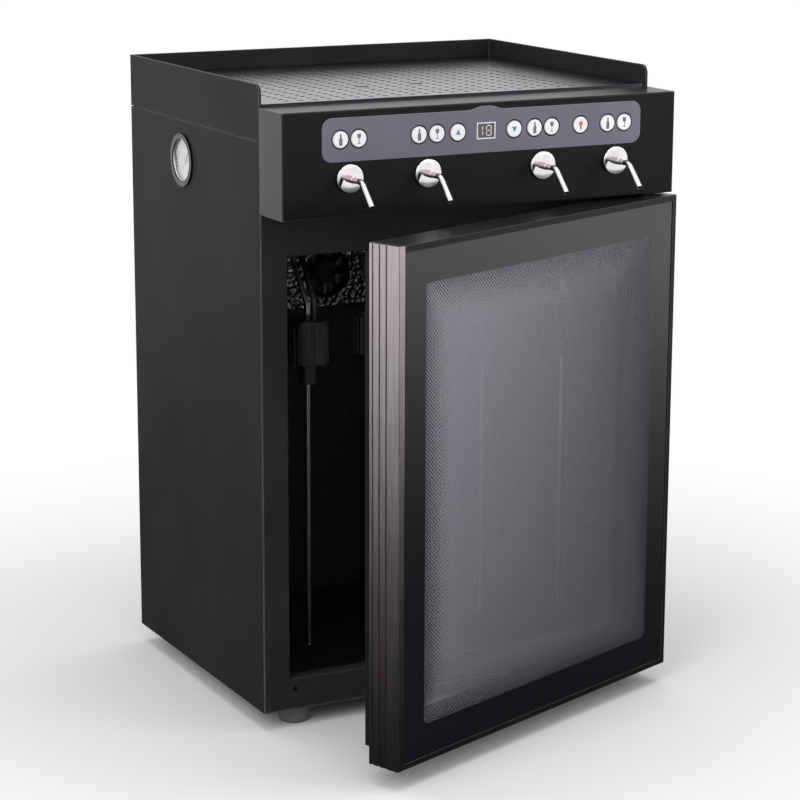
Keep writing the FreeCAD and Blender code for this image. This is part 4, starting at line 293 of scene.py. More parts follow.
# %% Handle and tray metal
WARM_GREY = ("b5acae", "c6bcbf")
DIE_LINES = (1, 1, 0.02)
metal("handle_aluminium", "aluminium_extruded_anodised", WARM_GREY, 0.2, 1.4, DIE_LINES, 0.015)
metal("tray_steel", "stainless_perforated_satin", ("46434b", "514e56"), 0.2, 1.6, ALONG_X, 0.01)
print("with handle and tray", len(FINISHES))

# %% [markdown]
# The cover before the fans is stucco-embossed aluminium, rolled with small pebbles, so that it glints in
# specks. The specks are partly painted: a lighter grey on each pebble's top is a painted glint, and a
# darker grey in the hollows is painted shade. The tub round it is vacuum-formed plastic, whose mould has
# the same pebbles, shallower and duller, with the same painted glint and shade, fainter. A smooth
# Voronoi, its cells pushed about by a noise so that no row shows, gives the pebbles.

# %% Pebbled sheet
PUSH_SHARE = 0.004
PEBBLE_MM = 5


def stucco(slot, name, colours, roughness, pebble_mm, depth_mm, values):
    """Sheet with pebbles that stand up from it, painted lighter on their tops and darker between them.
    """
    made = blank(slot, name, {"Roughness": roughness, **values})
    place = add(made, "TexCoord", {})["Object"]
    coarse = {"Vector": place, "Scale": repeats(pebble_mm * 2), "Detail": 1.0}
    push = add(made, "TexNoise", coarse)[1]
    moved = add(made, "Mix", {0: PUSH_SHARE, 4: place, 5: push}, data_type="VECTOR")[1]
    cells = {"Vector": moved, "Scale": repeats(pebble_mm), "Smoothness": 0.5}
    pebbles = add(made, "TexVoronoi", cells, feature="SMOOTH_F1")[0]
    share = add(made, "MapRange", {0: pebbles, 1: 0.15, 2: 0.75, 3: 0.0, 4: 1.0})[0]
    # The first grey is painted shade in the hollows, and the second is a painted glint on the pebble
    # tops.
    tints = {0: share, 6: linear(colours[1]), 7: linear(colours[0])}
    bump = {"Strength": 1.0, "Distance": depth_mm * MM, "Height": pebbles}
    feed(
        made,
        {
            "Base Color": add(made, "Mix", tints, data_type="RGBA")[2],
            "Normal": add(made, "Bump", bump, invert=True)[0],
        },
    )
    return made


BRIGHT = {"Metallic": 1.0}
DULL = {"Specular IOR Level": 0.2}
SHEET_SHADE_AND_GLINT = ("2c2b2f", "8f8e94")
TUB_SHADE_AND_GLINT = ("09090a", "101011")
stucco("cover_aluminium", "aluminium_stucco_embossed", SHEET_SHADE_AND_GLINT, 0.22, PEBBLE_MM, 1.6, BRIGHT)
stucco("liner_plastic", "abs_vacuum_formed_dark", TUB_SHADE_AND_GLINT, 0.4, PEBBLE_MM, 0.4, DULL)
blank(
    "clear_lens",
    "soda_lime_glass_clear",
    {"Base Color": linear("f4f6f7"), "Roughness": 0.02, "IOR": 1.5, "Transmission Weight": 1.0},
)
print("with stucco and the gauge's lens", len(FINISHES))

# %% [markdown]
# The door's outer pane is screen-printed on its back: a black border, then black dots that shrink
# towards the middle. All of it follows the door's own directions, so a Mapping node turns the
# object's coordinates back by the door's angle about its hinge. The smallest of the four
# distances to the sides of the window says how far in a point lies, and a smooth minimum rounds
# the window's corners.

# %% Directions on the door glass
HINGE = Vector((218, -202, 0)) * MM
DOOR_TURN = math.radians(21.4)
WINDOW_X = (-395.5, -30.5)
WINDOW_Z = (60.0, 499.0)
CORNER_MM = 8.0
polish = {"Roughness": 0.06, "Specular IOR Level": 0.75}
pane = blank("tinted_glass", "glass_screen_printed_painted_sheen", polish)
place = add(pane, "TexCoord", {})["Object"]
turned = {"Vector": place, "Location": HINGE, "Rotation": (0.0, 0.0, DOOR_TURN)}
shut = add(pane, "Mapping", turned, vector_type="TEXTURE")[0]
local = add(pane, "VectorMath", {0: shut, "Scale": 1 / MM}, operation="SCALE")[0]
axes = add(pane, "SeparateXYZ", {0: local})
inset = None
for axis, (low, high) in ((0, WINDOW_X), (2, WINDOW_Z)):
    for near, far in ((axes[axis], low), (high, axes[axis])):
        gap = add(pane, "Math", {0: near, 1: far}, operation="SUBTRACT")[0]
        if inset is None:
            inset = gap
        else:
            pair = {0: inset, 1: gap, 2: CORNER_MM}
            inset = add(pane, "Math", pair, operation="SMOOTH_MIN")[0]
print("window", WINDOW_X, WINDOW_Z, "mm from the hinge and the floor")

# %% [markdown]
# The dots stand 4.1 mm apart in rows, and every other row is shifted by half that, so two square
# lattices give them. A point is printed where the nearest lattice point is closer than a dot's
# radius, and that radius falls to nothing away from the border.

# %% Printed dots
DOT_STEP = 4.1
DOT_RADIUS = 1.35
FADE_MM = 52.0
lattices = []
for shift in (0.0, 0.5):
    cells = add(pane, "VectorMath", {0: local, "Scale": 1 / DOT_STEP}, operation="SCALE")[0]
    moved = add(pane, "VectorMath", {0: cells, 1: (shift, 0.0, shift)}, operation="ADD")[0]
    inside = add(pane, "VectorMath", {0: moved}, operation="FRACTION")[0]
    centred = add(pane, "VectorMath", {0: inside, 1: (0.5, 0.5, 0.5)}, operation="SUBTRACT")[0]
    spread = {0: centred, 1: (DOT_STEP, 0.0, DOT_STEP)}
    flat = add(pane, "VectorMath", spread, operation="MULTIPLY")[0]
    lattices.append(add(pane, "VectorMath", {0: flat}, operation="LENGTH")[1])
nearest = add(pane, "Math", {0: lattices[0], 1: lattices[1]}, operation="MINIMUM")[0]
dot_size = add(pane, "MapRange", {0: inset, 1: 0.0, 2: FADE_MM, 3: DOT_RADIUS, 4: 0.0})[0]
past_dot = add(pane, "Math", {0: nearest, 1: dot_size}, operation="SUBTRACT")[0]
off_dot = add(pane, "MapRange", {0: past_dot, 1: -0.1, 2: 0.1, 3: 0.0, 4: 1.0})[0]
in_window = add(pane, "MapRange", {0: inset, 1: -0.3, 2: 0.3, 3: 0.0, 4: 1.0})[0]
clear = add(pane, "Math", {0: off_dot, 1: in_window}, operation="MULTIPLY")[0]
print("dots", DOT_STEP, "mm apart, fading over", FADE_MM, "mm")

# %% [markdown]
# A pale film is painted between the dots as a painted reflection of the room's light. It is denser
# towards the free edge and the top and along the border. Where the film is thin, the pane is almost
# clear. The inner pane is plain float glass.

# %% Painted sheen and the inner pane
LEAST_SHEEN = 0.01
SHEEN_BY_HEIGHT = (0.12, 0.5)
RIM_SHEEN = 0.13
# The pale film is painted reflection: the pale colour a5a3af, thicker towards the free edge, the top and
# the border.
across = {0: axes[0], 1: WINDOW_X[1], 2: WINDOW_X[0], 3: 0.0, 4: 1.0}
to_free_edge = add(pane, "MapRange", across)[0]
up = {0: axes[2], 1: WINDOW_Z[0], 2: WINDOW_Z[1], 3: SHEEN_BY_HEIGHT[0], 4: SHEEN_BY_HEIGHT[1]}
height = add(pane, "MapRange", up)[0]
broad = {0: to_free_edge, 1: height, 2: LEAST_SHEEN}
painted_sheen = add(pane, "Math", broad, operation="MULTIPLY_ADD")[0]
rim_sheen = add(pane, "MapRange", {0: inset, 1: 0.0, 2: FADE_MM, 3: RIM_SHEEN, 4: 0.0})[0]
painted_sheen = add(pane, "Math", {0: painted_sheen, 1: rim_sheen}, operation="ADD")[0]
print_or_sheen = {0: clear, 6: linear("17161a"), 7: linear("a5a3af")}
feed(
    pane,
    {
        "Base Color": add(pane, "Mix", print_or_sheen, data_type="RGBA")[2],
        "Alpha": add(pane, "Mix", {0: clear, 2: 1.0, 3: painted_sheen}, data_type="FLOAT")[0],
    },
)
blank(
    "inner_pane",
    "glass_float_clear",
    {"Base Color": linear("8d9295"), "Roughness": 0.04, "Alpha": 0.12, "Specular IOR Level": 0.5},
)
print("with both panes", len(FINISHES))

# %% [markdown]
# The record names a slot for each CAD node, and the finish of that slot goes on it.

# %% Give the solids their finishes
for node_name, solid in frame["nodes"].items():
    solid.data.materials.clear()
    solid.data.materials.append(FINISHES[slot_of[node_name]])
print(len(FINISHES), "finishes on", len(frame["nodes"]), "nodes")

# %% [markdown]
# New pieces are made with bmesh, Blender's mesh operators. A helper turns a finished bmesh into
# an object, gives it a finish, and lets it ride on the CAD body that carries it. Three more make
# the shapes that come up often here: faces made thick, a thin plate of any outline, and a ring
# turned from its profile.

# %% Helpers for pieces
def keep(name, bm, body, slot, finish=None, smooth=None):
    """Makes an object of a bmesh and fixes it to a body."""
    bmesh.ops.recalc_face_normals(bm, faces=bm.faces)
    mesh = bpy.data.meshes.new(name)
    bm.to_mesh(mesh)
    bm.free()
    if smooth:
        mesh.shade_smooth()
        mesh.set_sharp_from_angle(angle=math.radians(smooth))
    made = bpy.data.objects.new(name, mesh)
    bpy.context.scene.collection.objects.link(made)
    made.data.materials.append(finish or FINISHES[slot])
    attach(made, body)
    return made


def thicken(bm, faces, step):
    """Extrudes faces by a step, so that a flat outline becomes a plate."""
    raised = bmesh.ops.extrude_face_region(bm, geom=faces)["geom"]
    moved = [item for item in raised if isinstance(item, bmesh.types.BMVert)]
    bmesh.ops.translate(bm, verts=moved, vec=step)


def raise_plate(bm, points, height):
    """A plate of this outline, in millimetres along X and Z, raised from Y = 0 to the front."""
    corners = [bm.verts.new((x * MM, 0, z * MM)) for x, z in points]
    thicken(bm, [bm.faces.new(corners)], (0, -height, 0))


def turn_ring(bm, points, centre, axis, steps=48):
    """A ring of this profile, each point a radius and a height along the axis, spun round it."""
    across = axis.orthogonal().normalized()
    corners = [bm.verts.new(centre + across * r * MM + axis * h * MM) for r, h in points]
    edges = [bm.edges.new(pair) for pair in zip(corners, corners[1:] + corners[:1])]
    turn = {"cent": centre, "axis": axis, "angle": math.tau, "steps": steps, "use_merge": True}
    bmesh.ops.spin(bm, geom=corners + edges, **turn)


print("helpers ready")

# %% [markdown]
# The caps carry printed signs: a bottle or a glass beside each tap, arrows for the temperature,
# and a lamp. Each sign is a plate as thin as ink, drawn as half an outline and mirrored. It rides
# on its own key, so it sinks with it.

# %% Signs on the caps
INK = 0.12 * MM
BOTTLE = [(0, -5.7), (1.8, -5.7), (1.8, 0.4), (1.4, 1.2), (0.8, 1.9), (0.75, 5.7), (0, 5.7)]
FOOT_OF_GLASS = [(0, -4.9), (1.6, -4.9), (1.6, -4.5), (0.3, -3.9)]
GLASS = FOOT_OF_GLASS + [(0.3, 0.1), (1.6, 1.0), (2.1, 2.6), (1.9, 4.9), (0, 4.9)]
UP = [(0, -2.3), (2.9, -2.3), (0, 3.0)]
DOWN = [(0, -3.0), (2.9, 2.3), (0, 2.3)]
BULB = [(0, -2.2), (0.95, -2.2), (1.2, -0.7), (2.3, 0.7), (2.4, 2.2), (1.5, 3.6), (0, 3.9)]
SOCKET = [(0, -4.6), (0.9, -4.6), (0.9, -2.5), (0, -2.5)]
RAY = [(0, 5.0), (0.2, 5.0), (0.2, 6.2), (0, 6.2)]


def ink(slot, name, colour):
    """Printing ink: a thin matt film."""
    return skin(slot, name, (colour, colour), colour, 0.5, 3.0, 0.005)


INKS = {
    "grey": ink("grey_ink", "ink_printed_grey", "75747c"),
    "blue": ink("blue_ink", "ink_printed_blue", "3f9bbd"),
    "red": ink("red_ink", "ink_printed_red", "ee6450"),
    "black": ink("black_ink", "ink_printed_black", "1f1f20"),
    "pale": ink("pale_ink", "ink_printed_pale", "e6dfe6"),
    "white": ink("white_ink", "ink_printed_white", "f4f2f8"),
}


def sign(name, button, outline, colour, turns=(0,)):
    """A mirrored sign in the middle of a cap, repeated at these angles."""
    low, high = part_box(button)
    bm = bmesh.new()
    raise_plate(bm, outline, INK)
    bmesh.ops.mirror(bm, geom=bm.verts[:] + bm.edges[:] + bm.faces[:], axis="X", merge_dist=1e-6)
    first = bm.verts[:] + bm.edges[:] + bm.faces[:]
    for turn in turns[1:]:
        copied = bmesh.ops.duplicate(bm, geom=first)["geom"]
        verts = [item for item in copied if isinstance(item, bmesh.types.BMVert)]
        bmesh.ops.rotate(bm, verts=verts, matrix=Matrix.Rotation(math.radians(turn), 3, "Y"))
    middle = Vector(((low.x + high.x) / 2, low.y, (low.z + high.z) / 2))
    bmesh.ops.translate(bm, verts=bm.verts, vec=middle)
    return keep(name, bm, f"{button}_key", "button_caps", INKS[colour])


for i in range(1, 5):
    sign(f"bottle_sign_{i}", f"bottle_button_{i}", BOTTLE, "grey")
    sign(f"glass_sign_{i}", f"glass_button_{i}", GLASS, "grey")
sign("warmer_sign", "warmer_button", UP, "blue")
sign("cooler_sign", "cooler_button", DOWN, "blue")
sign("lamp_sign_bulb", "lamp_button", BULB, "red")
sign("lamp_sign_socket", "lamp_button", SOCKET, "grey")
sign("lamp_sign_rays", "lamp_button", RAY, "red", (0, -35, 35, -70, 70))
print("signs on 11 caps")

# %% [markdown]
# The display is a smoked window that reads 18, in digits made of bars: two bars for the one and
# seven for the eight. A bar is a stretched hexagon, so that bars meet in mitres, as on a real
# display.

# %% Display digits
HALF_WIDE = 2.7
HALF_TALL = 5.0
HALF_BAR = 0.55
BAR_GAP = 0.3
ONE_X = -7.0
EIGHT_X = 3.0
BARS = {
    "top": (0, 1, False),
    "middle": (0, 0, False),
    "bottom": (0, -1, False),
    "upper_left": (-1, 0.5, True),
    "upper_right": (1, 0.5, True),
    "lower_left": (-1, -0.5, True),
    "lower_right": (1, -0.5, True),
}
low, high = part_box("display_module")
display = Vector(((low.x + high.x) / 2, low.y, (low.z + high.z) / 2))
bm = bmesh.new()
for bars, centre in ((("upper_right", "lower_right"), ONE_X), (tuple(BARS), EIGHT_X)):
    for side, level, upright in (BARS[bar] for bar in bars):
        half = (HALF_TALL if upright else 2 * HALF_WIDE) / 2 - BAR_GAP
        hexagon = [(-half, 0), (HALF_BAR - half, HALF_BAR), (half - HALF_BAR, HALF_BAR)]
        hexagon += [(-x, -z) for x, z in hexagon]
        if upright:
            hexagon = [(z, x) for x, z in hexagon]
        bar_x = centre + side * HALF_WIDE
        bar_z = level * HALF_TALL
        raise_plate(bm, [(x + bar_x, z + bar_z) for x, z in hexagon], INK)
bmesh.ops.translate(bm, verts=bm.verts, vec=display)
digits = keep("display_digits", bm, "cabinet", "display_block", INKS["pale"])
print("digits have", len(digits.data.polygons), "faces")

# %% [markdown]
# A printed white frame runs round the window. It is a square whose middle is inset and taken out,
# so that a rim is left, which is then thickened.

# %% Display frame
FRAME_MM = 1.2
bm = bmesh.new()
corners = [(low.x, low.z), (high.x, low.z), (high.x, high.z), (low.x, high.z)]
square = bm.faces.new([bm.verts.new((x, low.y, z)) for x, z in corners])
square.normal_update()
inner = {"faces": [square], "thickness": FRAME_MM * MM, "use_even_offset": True}
rim = bmesh.ops.inset_individual(bm, **inner)["faces"]
bmesh.ops.delete(bm, geom=[square], context="FACES")
thicken(bm, rim, (0, -2 * INK, 0))
edge = keep("display_frame", bm, "cabinet", "display_block", INKS["white"])
print("display frame has", len(edge.data.polygons), "faces")

# %% [markdown]
# Behind each spout stands a flat, polished disc with a rounded rim. Flat matters: it mirrors the
# spout, so that tube and mirror image make a V. Each disc is a ring turned from its profile, and
# its front edge is beveled.

# %% Tap discs
low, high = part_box("tap_escutcheons")
TAPS = (-152.7, -66.0, 66.0, 152.7)
FORWARD = Vector((0, -1, 0))
DISC_MM = 3.2
DISC_HOLE = 3.05
tap_z = (low.z + high.z) / 2
disc_radius = (high.z - low.z) / 2 / MM
bm = bmesh.new()
for x in TAPS:
    turn_ring(
        bm,
        [(DISC_HOLE, 0), (disc_radius, 0), (disc_radius, DISC_MM), (DISC_HOLE, DISC_MM)],
        Vector((x * MM, high.y, tap_z)),
        FORWARD,
        64,
    )
front_y = high.y - DISC_MM * MM


def on_front_rim(edge):
    """Whether an edge lies on the outer rim of a disc's front."""
    on_front = all(abs(v.co.y - front_y) < 1e-6 for v in edge.verts)
    from_taps = [math.hypot(v.co.x - x * MM, v.co.z - tap_z) for v in edge.verts for x in TAPS]
    return on_front and min(from_taps) > 0.9 * disc_radius * MM


front_edges = [edge for edge in bm.edges if on_front_rim(edge)]
bevel = {"offset": 1.1 * MM, "segments": 5, "profile": 0.5, "affect": "EDGES", "material": -1}
bmesh.ops.bevel(bm, geom=front_edges, **bevel)
discs = keep("tap_discs", bm, "cabinet", "tap_chrome", smooth=40)
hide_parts("tap_escutcheons")
print(len(TAPS), "discs, bevel on", len(front_edges), "edges")

# %% [markdown]
# A short turned collar joins each spout to its disc. Its front edge is chamfered.

# %% Spout collars
COLLAR_HOLE = 3.02
bm = bmesh.new()
for x in TAPS:
    turn_ring(
        bm,
        [(COLLAR_HOLE, 0), (3.7, 0), (3.7, 7.6), (3.4, 8.0), (COLLAR_HOLE, 8.0)],
        Vector((x * MM, front_y, tap_z)),
        FORWARD,
        32,
    )
collars = keep("spout_collars", bm, "cabinet", "tap_chrome", smooth=35)
print("collars have", len(collars.data.polygons), "faces")

# %% [markdown]
# The keypad film and the drip tray are both sheets with many holes. Their outlines and holes are
# drawn as loops of edges, one fill spans the sheet between all the loops, and it is then
# thickened. So each hole is part of the sheet from the start, and nothing has to be cut.

# %% Sheets with holes
def fill_sheet(bm, thickness):
    """Fills between all loops of edges and gives the sheet its thickness."""
    bmesh.ops.triangle_fill(bm, use_beauty=True, use_dissolve=False, edges=bm.edges[:])
    thicken(bm, bm.faces[:], thickness)


print("sheet helper ready")

# %% [markdown]
# The keypad film has rounded corners and a raised middle with soft shoulders. Its outline is a
# face whose corners a vertex bevel rounds, and the face then gives way to its edges alone.

# %% Outline of the keypad film
low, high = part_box("keypad_overlay")
HUMP = 3.6
CORNER_RADIUS = 10.5
SHOULDER_RADIUS = 4.4
top = high.z / MM - HUMP
left, right, bottom = low.x / MM, high.x / MM, low.z / MM
shoulders = [(17, top), (8, high.z / MM), (-8, high.z / MM), (-17, top)]
outline = [(left, bottom), (right, bottom), (right, top), *shoulders, (left, top)]
bm = bmesh.new()
bm.faces.new([bm.verts.new((x * MM, high.y, z * MM)) for x, z in outline])
outer_corners = [v for v in bm.verts if abs(v.co.x) > 0.1]
hump_corners = [v for v in bm.verts if abs(v.co.x) < 0.02]
round_off = {"segments": 6, "profile": 0.5, "affect": "VERTICES", "material": -1}
bmesh.ops.bevel(bm, geom=outer_corners, offset=CORNER_RADIUS * MM, **round_off)
bmesh.ops.bevel(bm, geom=hump_corners, offset=SHOULDER_RADIUS * MM, **round_off)
bmesh.ops.delete(bm, geom=bm.faces[:], context="FACES_ONLY")
print("the film's outline has", len(bm.edges), "edges")

# %% [markdown]
# The film is punched out round each cap and round the display. The circles follow the caps of the
# CAD model.

# %% Holes of the keypad film
CAP_GAP = 0.25
upright = Matrix.Rotation(math.pi / 2, 4, "X")
for node_name in (name for name in frame["nodes"] if "_button" in name):
    cap_low, cap_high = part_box(node_name)
    middle = Vector(((cap_low.x + cap_high.x) / 2, high.y, (cap_low.z + cap_high.z) / 2))
    radius = (cap_high.x - cap_low.x) / 2 + CAP_GAP * MM
    place = Matrix.Translation(middle) @ upright
    bmesh.ops.create_circle(bm, segments=32, radius=radius, matrix=place)
display_low, display_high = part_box("display_module")
corners = [
    (display_low.x, display_low.z),
    (display_high.x, display_low.z),
    (display_high.x, display_high.z),
    (display_low.x, display_high.z),
]
corners = [bm.verts.new((x, high.y, z)) for x, z in corners]
for pair in zip(corners, corners[1:] + corners[:1]):
    bm.edges.new(pair)
fill_sheet(bm, (0, low.y - high.y, 0))
film = keep("keypad_film", bm, "cabinet", "overlay_film")
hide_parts("keypad_overlay")
print("keypad film has", len(film.data.polygons), "faces")

# %% [markdown]
# The drip tray is a perforated sheet with a plain border, wider at the right, and two slots for
# the fingertips. The outline is a square scaled to the CAD tray, and a slot is a circle pulled
# apart.

# %% Outline of the tray
SLOTS = [(-61, -66), (3, -66)]
SLOT_RADIUS = 3.6
SLOT_STRETCH = 4.5
low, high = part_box("drip_tray")
wide, deep = high.x - low.x, high.y - low.y
middle = Vector(((low.x + high.x) / 2, (low.y + high.y) / 2, high.z))
bm = bmesh.new()
bmesh.ops.create_circle(bm, segments=4, radius=math.sqrt(0.5))
bmesh.ops.rotate(bm, verts=bm.verts, matrix=Matrix.Rotation(math.pi / 4, 3, "Z"))
bmesh.ops.scale(bm, verts=bm.verts, vec=(wide, deep, 1))
bmesh.ops.translate(bm, verts=bm.verts, vec=middle)
for x, y in SLOTS:
    loop = bmesh.ops.create_circle(bm, segments=18, radius=SLOT_RADIUS * MM)["verts"]
    for vert in loop:
        if abs(vert.co.x) > 1e-6:
            vert.co.x += math.copysign(SLOT_STRETCH * MM, vert.co.x)
    bmesh.ops.translate(bm, verts=loop, vec=(x * MM, y * MM, high.z))
print("tray", round(wide, 4), "by", round(deep, 4))

# %% [markdown]
# The holes stand 15.7 mm apart across and 14.3 mm from row to row, and leave out the places of
# the slots. The sheet is 1 mm thick.

# %% Holes of the tray
HOLE_RADIUS = 3.0
COLUMNS = [-187.0 + 15.67 * i for i in range(22)]
ROWS = [-152.0 + 14.3 * i for i in range(21)]
CLEAR_OF_SLOT = (13, 7.5)
SHEET = 1.0 * MM


def clear_of_slots(x, y):
    """Whether a hole here would miss both slots."""
    wide_gap, deep_gap = CLEAR_OF_SLOT
    return all(abs(x - at_x) > wide_gap or abs(y - at_y) > deep_gap for at_x, at_y in SLOTS)


centres = [(x, y) for y in ROWS for x in COLUMNS if clear_of_slots(x, y)]
for x, y in centres:
    place = Matrix.Translation((x * MM, y * MM, high.z))
    bmesh.ops.create_circle(bm, segments=12, radius=HOLE_RADIUS * MM, matrix=place)
fill_sheet(bm, (0, 0, -SHEET))
print(len(centres), "holes in the tray")

# %% [markdown]
# A folded rim below keeps the sheet off the hood. It is a box without its top and bottom.

# %% Rim of the tray
RIM_SETBACK = 0.4
rim = bmesh.ops.create_cube(bm, size=1.0)["verts"]
walls = {face for vert in rim for face in vert.link_faces if abs(face.normal.z) > 0.5}
bmesh.ops.delete(bm, geom=list(walls), context="FACES")
rim_height = high.z - SHEET - low.z
rim_size = (wide - RIM_SETBACK * MM, deep - RIM_SETBACK * MM, rim_height)
bmesh.ops.scale(bm, verts=rim, vec=rim_size)
bmesh.ops.translate(bm, verts=rim, vec=middle - Vector((0, 0, SHEET + rim_height / 2)))
tray = keep("perforated_tray", bm, "drip_tray_body", "tray_steel")
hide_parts("drip_tray")
print("the rim is", round(rim_height, 4), "high")

# %% [markdown]
# The gauge's dial has a printed scale over 270 degrees, and the CAD needle turns over it. A tick
# is a thin block, turned to its place, and every tenth one is longer.

# %% Gauge scale
low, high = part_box("gauge_dial")
dial = Vector((low.x, (low.y + high.y) / 2, (low.z + high.z) / 2))
LEFTWARD = Vector((-1, 0, 0))
SWEEP = 270
STEPS = 50
TICKS_END = 20.4
LONG_TICK = (3.4, 0.6)
SHORT_TICK = (1.8, 0.3)
bm = bmesh.new()
for step in range(STEPS + 1):
    length, thick = LONG_TICK if step % 10 == 0 else SHORT_TICK
    tick = bmesh.ops.create_cube(bm, size=1.0)["verts"]
    bmesh.ops.scale(bm, verts=tick, vec=(INK, thick * MM, length * MM))
    bmesh.ops.translate(bm, verts=tick, vec=(0, 0, (TICKS_END - length / 2) * MM))
    angle = math.radians(-SWEEP / 2 + SWEEP * step / STEPS)
    bmesh.ops.rotate(bm, verts=tick, matrix=Matrix.Rotation(angle, 3, "X"))
bmesh.ops.translate(bm, verts=bm.verts, vec=dial + LEFTWARD * INK / 2)
keep("gauge_ticks", bm, "cabinet", "dial_white", INKS["black"])
print(STEPS + 1, "ticks over", SWEEP, "degrees")

# %% [markdown]
# The numbers go from 0 to 10 in steps of two. Each is a text made into a mesh, stood upright on
# the dial and only then moved to its place.

# %% Gauge numbers
NUMBERS_AT = 13.2
stand = Matrix.Rotation(-math.pi / 2, 4, "Z") @ Matrix.Rotation(math.pi / 2, 4, "X")
for i in range(6):
    text = bpy.data.curves.new(f"number_{i}", "FONT")
    text.body = str(2 * i)
    text.size = 5.2 * MM
    text.align_x = "CENTER"
    text.align_y = "CENTER"
    text.extrude = INK / 2
    outline = bpy.data.objects.new(f"number_{i}", text)
    bpy.context.scene.collection.objects.link(outline)
    bpy.context.view_layer.update()
    settled = outline.evaluated_get(bpy.context.evaluated_depsgraph_get())
    mesh = bpy.data.meshes.new_from_object(settled)
    bpy.data.objects.remove(outline)
    angle = math.radians(SWEEP / 2 - SWEEP * i / 5)
    outward = Vector((0, math.sin(angle), math.cos(angle)))
    spot = dial + LEFTWARD * INK / 2 + outward * NUMBERS_AT * MM
    mesh.transform(Matrix.Translation(spot) @ stand)
    bm = bmesh.new()
    bm.from_mesh(mesh)
    bmesh.ops.remove_doubles(bm, verts=bm.verts, dist=1e-7)
    keep(f"gauge_number_{i}", bm, "cabinet", "dial_white", INKS["black"])
print("gauge dial at", [round(v, 4) for v in dial])

# %% [markdown]
# A polished step ring stands round the dial, and a bright ring holds the glass in the bezel.

# %% Gauge rings
bm = bmesh.new()
turn_ring(bm, [(22.4, 0), (21.3, 0), (21.9, 3.6), (22.4, 3.8)], dial, LEFTWARD, 64)
glass_low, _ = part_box("gauge_glass")
lens = Vector((glass_low.x, dial.y, dial.z))
turn_ring(bm, [(22.5, 0), (21.0, 0), (20.9, 0.9), (21.6, 1.6), (22.5, 1.2)], lens, LEFTWARD, 64)
rings = keep("gauge_rings", bm, "cabinet", "tap_chrome", smooth=35)
print("gauge rings have", len(rings.data.polygons), "faces")

# %% [markdown]
# Inside, each wine hose is pushed over a steel nipple on its stopper. The nipple shows as a
# bright sleeve at the hose's end: a ring again, with a bead at its top.

# %% Hose sleeves
low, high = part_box("bottle_stoppers")
stopper_top = high.z
PLUGS = [(-152.7, -125), (-66, -104), (66, -104), (152.7, -125)]
UPWARD = Vector((0, 0, 1))
SLEEVE = [(3.1, 0), (3.5, 0), (3.5, 11.4), (3.8, 11.8), (3.8, 12.8), (3.1, 12.8)]
bm = bmesh.new()
for x, y in PLUGS:
    root = Vector((x * MM, y * MM, stopper_top))
    turn_ring(bm, SLEEVE, root, UPWARD, 24)
keep("hose_sleeves", bm, "cabinet", "dip_steel", smooth=35)
print(len(PLUGS), "sleeves on the stoppers, at", round(stopper_top, 4))

# %% [markdown]
# The stage is one plain pale floor, a flat sheet far wider than the picture.

# %% Floor
bm = bmesh.new()
bmesh.ops.create_grid(bm, x_segments=1, y_segments=1, size=30)
mesh = bpy.data.meshes.new("floor")
bm.to_mesh(mesh)
bm.free()
floor = bpy.data.objects.new("floor", mesh)
bpy.context.scene.collection.objects.link(floor)
print("floor ready")

# %% [markdown]
# Near the cabinet the paper is lit, so it keeps the shadow, and further out it runs into a white
# background. In mirrors and gloss it is bright far off and dim close by, and dim towards the
# front, where a studio is dark behind the camera.

# %% Paper of the floor
LIT_TO = 0.42
WHITE_FROM = 1.0
DIM_TO = 0.3
BRIGHT_FROM = 3.4
DIMMEST = 0.03
FRONT_SHARE = 0.35
paper = bpy.data.materials.new("paper_matt_white")
paper.use_nodes = True
paper.node_tree.nodes.clear()
spot = add(paper, "TexCoord", {})["Object"]
reach = add(paper, "VectorMath", {0: spot}, operation="LENGTH")[1]
lit = add(paper, "BsdfDiffuse", {"Color": linear("f6f6f6")})[0]
white = add(paper, "Emission", {"Color": (1, 1, 1, 1), "Strength": 1.0})[0]
smooth = {"interpolation_type": "SMOOTHSTEP"}
far = add(paper, "MapRange", {0: reach, 1: LIT_TO, 2: WHITE_FROM}, **smooth)[0]
seen = add(paper, "MixShader", {0: far, 1: lit, 2: white})[0]
shine_range = {0: reach, 1: DIM_TO, 2: BRIGHT_FROM, 3: DIMMEST, 4: 1.0}
shine = add(paper, "MapRange", shine_range, **smooth)[0]
heading = add(paper, "VectorMath", {0: spot}, operation="NORMALIZE")[0]
towards_back = add(paper, "SeparateXYZ", {0: heading})[1]
side_range = {0: towards_back, 1: -0.85, 2: -0.35, 3: FRONT_SHARE, 4: 1.0}
side_dim = add(paper, "MapRange", side_range)[0]
shine = add(paper, "Math", {0: shine, 1: side_dim}, operation="MULTIPLY")[0]
glow = add(paper, "Emission", {"Color": (1, 1, 1, 1), "Strength": shine})[0]
path = add(paper, "LightPath", {})
mirrored = add(paper, "MixShader", {0: path["Is Glossy Ray"], 1: seen, 2: glow})[0]
either = {0: path["Is Camera Ray"], 1: path["Is Glossy Ray"]}
direct = add(paper, "Math", either, operation="MAXIMUM")[0]
either = {0: direct, 1: path["Is Transmission Ray"]}
direct = add(paper, "Math", either, operation="MAXIMUM")[0]
whole = add(paper, "MixShader", {0: direct, 1: lit, 2: mirrored})[0]
add(paper, "OutputMaterial", {"Surface": whole})
floor.data.materials.append(paper)
print("paper white from", WHITE_FROM, "m")

# %% [markdown]
# Large soft lamps light the cabinet: one overhead, a key from the front left and a fill from the
# front right. Two low panels stand where the tap discs and the console's left side mirror them.
# The world adds an even glow; to the camera, to gloss and through glass it is plain white.

# %% Lamps and world
def lamp(name, place, target, wide, tall, power):
    """A soft rectangular lamp that looks at its target."""
    light = bpy.data.lights.new(name, "AREA")
    light.shape = "RECTANGLE"
    light.size = wide
    light.size_y = tall
    light.energy = power
    made = bpy.data.objects.new(name, light)
    made.location = place
    made.rotation_euler = (Vector(target) - Vector(place)).to_track_quat("-Z", "Y").to_euler()
    bpy.context.scene.collection.objects.link(made)


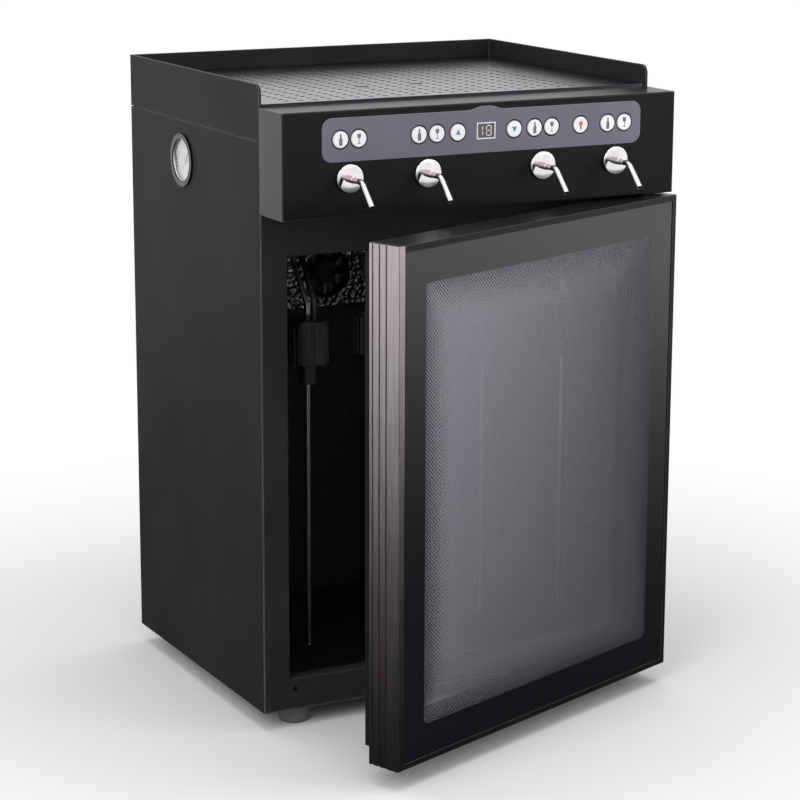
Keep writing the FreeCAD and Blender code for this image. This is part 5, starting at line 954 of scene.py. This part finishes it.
lamp("overhead_softbox", (0.0, -0.2, 2.6), (0.0, 0.0, 0.5), 2.2, 2.2, 26)
lamp("key_softbox", (-2.4, -1.6, 1.9), (0.0, 0.0, 0.35), 1.8, 1.8, 24)
lamp("fill_softbox", (2.3, -1.9, 1.5), (0.0, 0.0, 0.35), 1.6, 1.6, 16)
lamp("disc_panel", (1.1, -2.3, 0.62), (0.0, -0.2, 0.5), 1.5, 1.2, 5)
lamp("side_panel", (-1.35, 1.95, 0.65), (-0.2, -0.1, 0.5), 1.6, 1.3, 6)

AMBIENT = 0.55
world = bpy.data.worlds.new("studio")
bpy.context.scene.world = world
world.use_nodes = True
world.node_tree.nodes.clear()
path = add(world, "LightPath", {})
either = {0: path["Is Camera Ray"], 1: path["Is Glossy Ray"]}
direct = add(world, "Math", either, operation="MAXIMUM")[0]
either = {0: direct, 1: path["Is Transmission Ray"]}
direct = add(world, "Math", either, operation="MAXIMUM")[0]
level = add(world, "MapRange", {0: direct, 1: 0.0, 2: 1.0, 3: AMBIENT, 4: 1.0})[0]
sky = add(world, "Background", {"Color": (1, 1, 1, 1), "Strength": level})[0]
add(world, "OutputWorld", {"Surface": sky})

# %% [markdown]
# The camera stands where the photographer's did: in front, to the left and a little above. Its
# place and lens were fitted to the corners of the cabinet.

# %% Camera
PLACE = (-1.259, -2.462, 0.941)
TURN = -27.45
TILT_DOWN = 13.15
ROLL = 0.2
camera_data = bpy.data.cameras.new("camera")
camera_data.lens = 115.5
camera_data.sensor_width = 36
camera = bpy.data.objects.new("camera", camera_data)
bpy.context.scene.collection.objects.link(camera)
aim = (
    Matrix.Rotation(math.radians(TURN), 4, "Z")
    @ Matrix.Rotation(math.radians(90 - TILT_DOWN), 4, "X")
    @ Matrix.Rotation(math.radians(ROLL), 4, "Z")
)
camera.matrix_world = Matrix.Translation(PLACE) @ aim
bpy.context.scene.camera = camera
bpy.context.scene.view_settings.view_transform = "Standard"
print("camera at", [round(v, 3) for v in camera.matrix_world.translation])
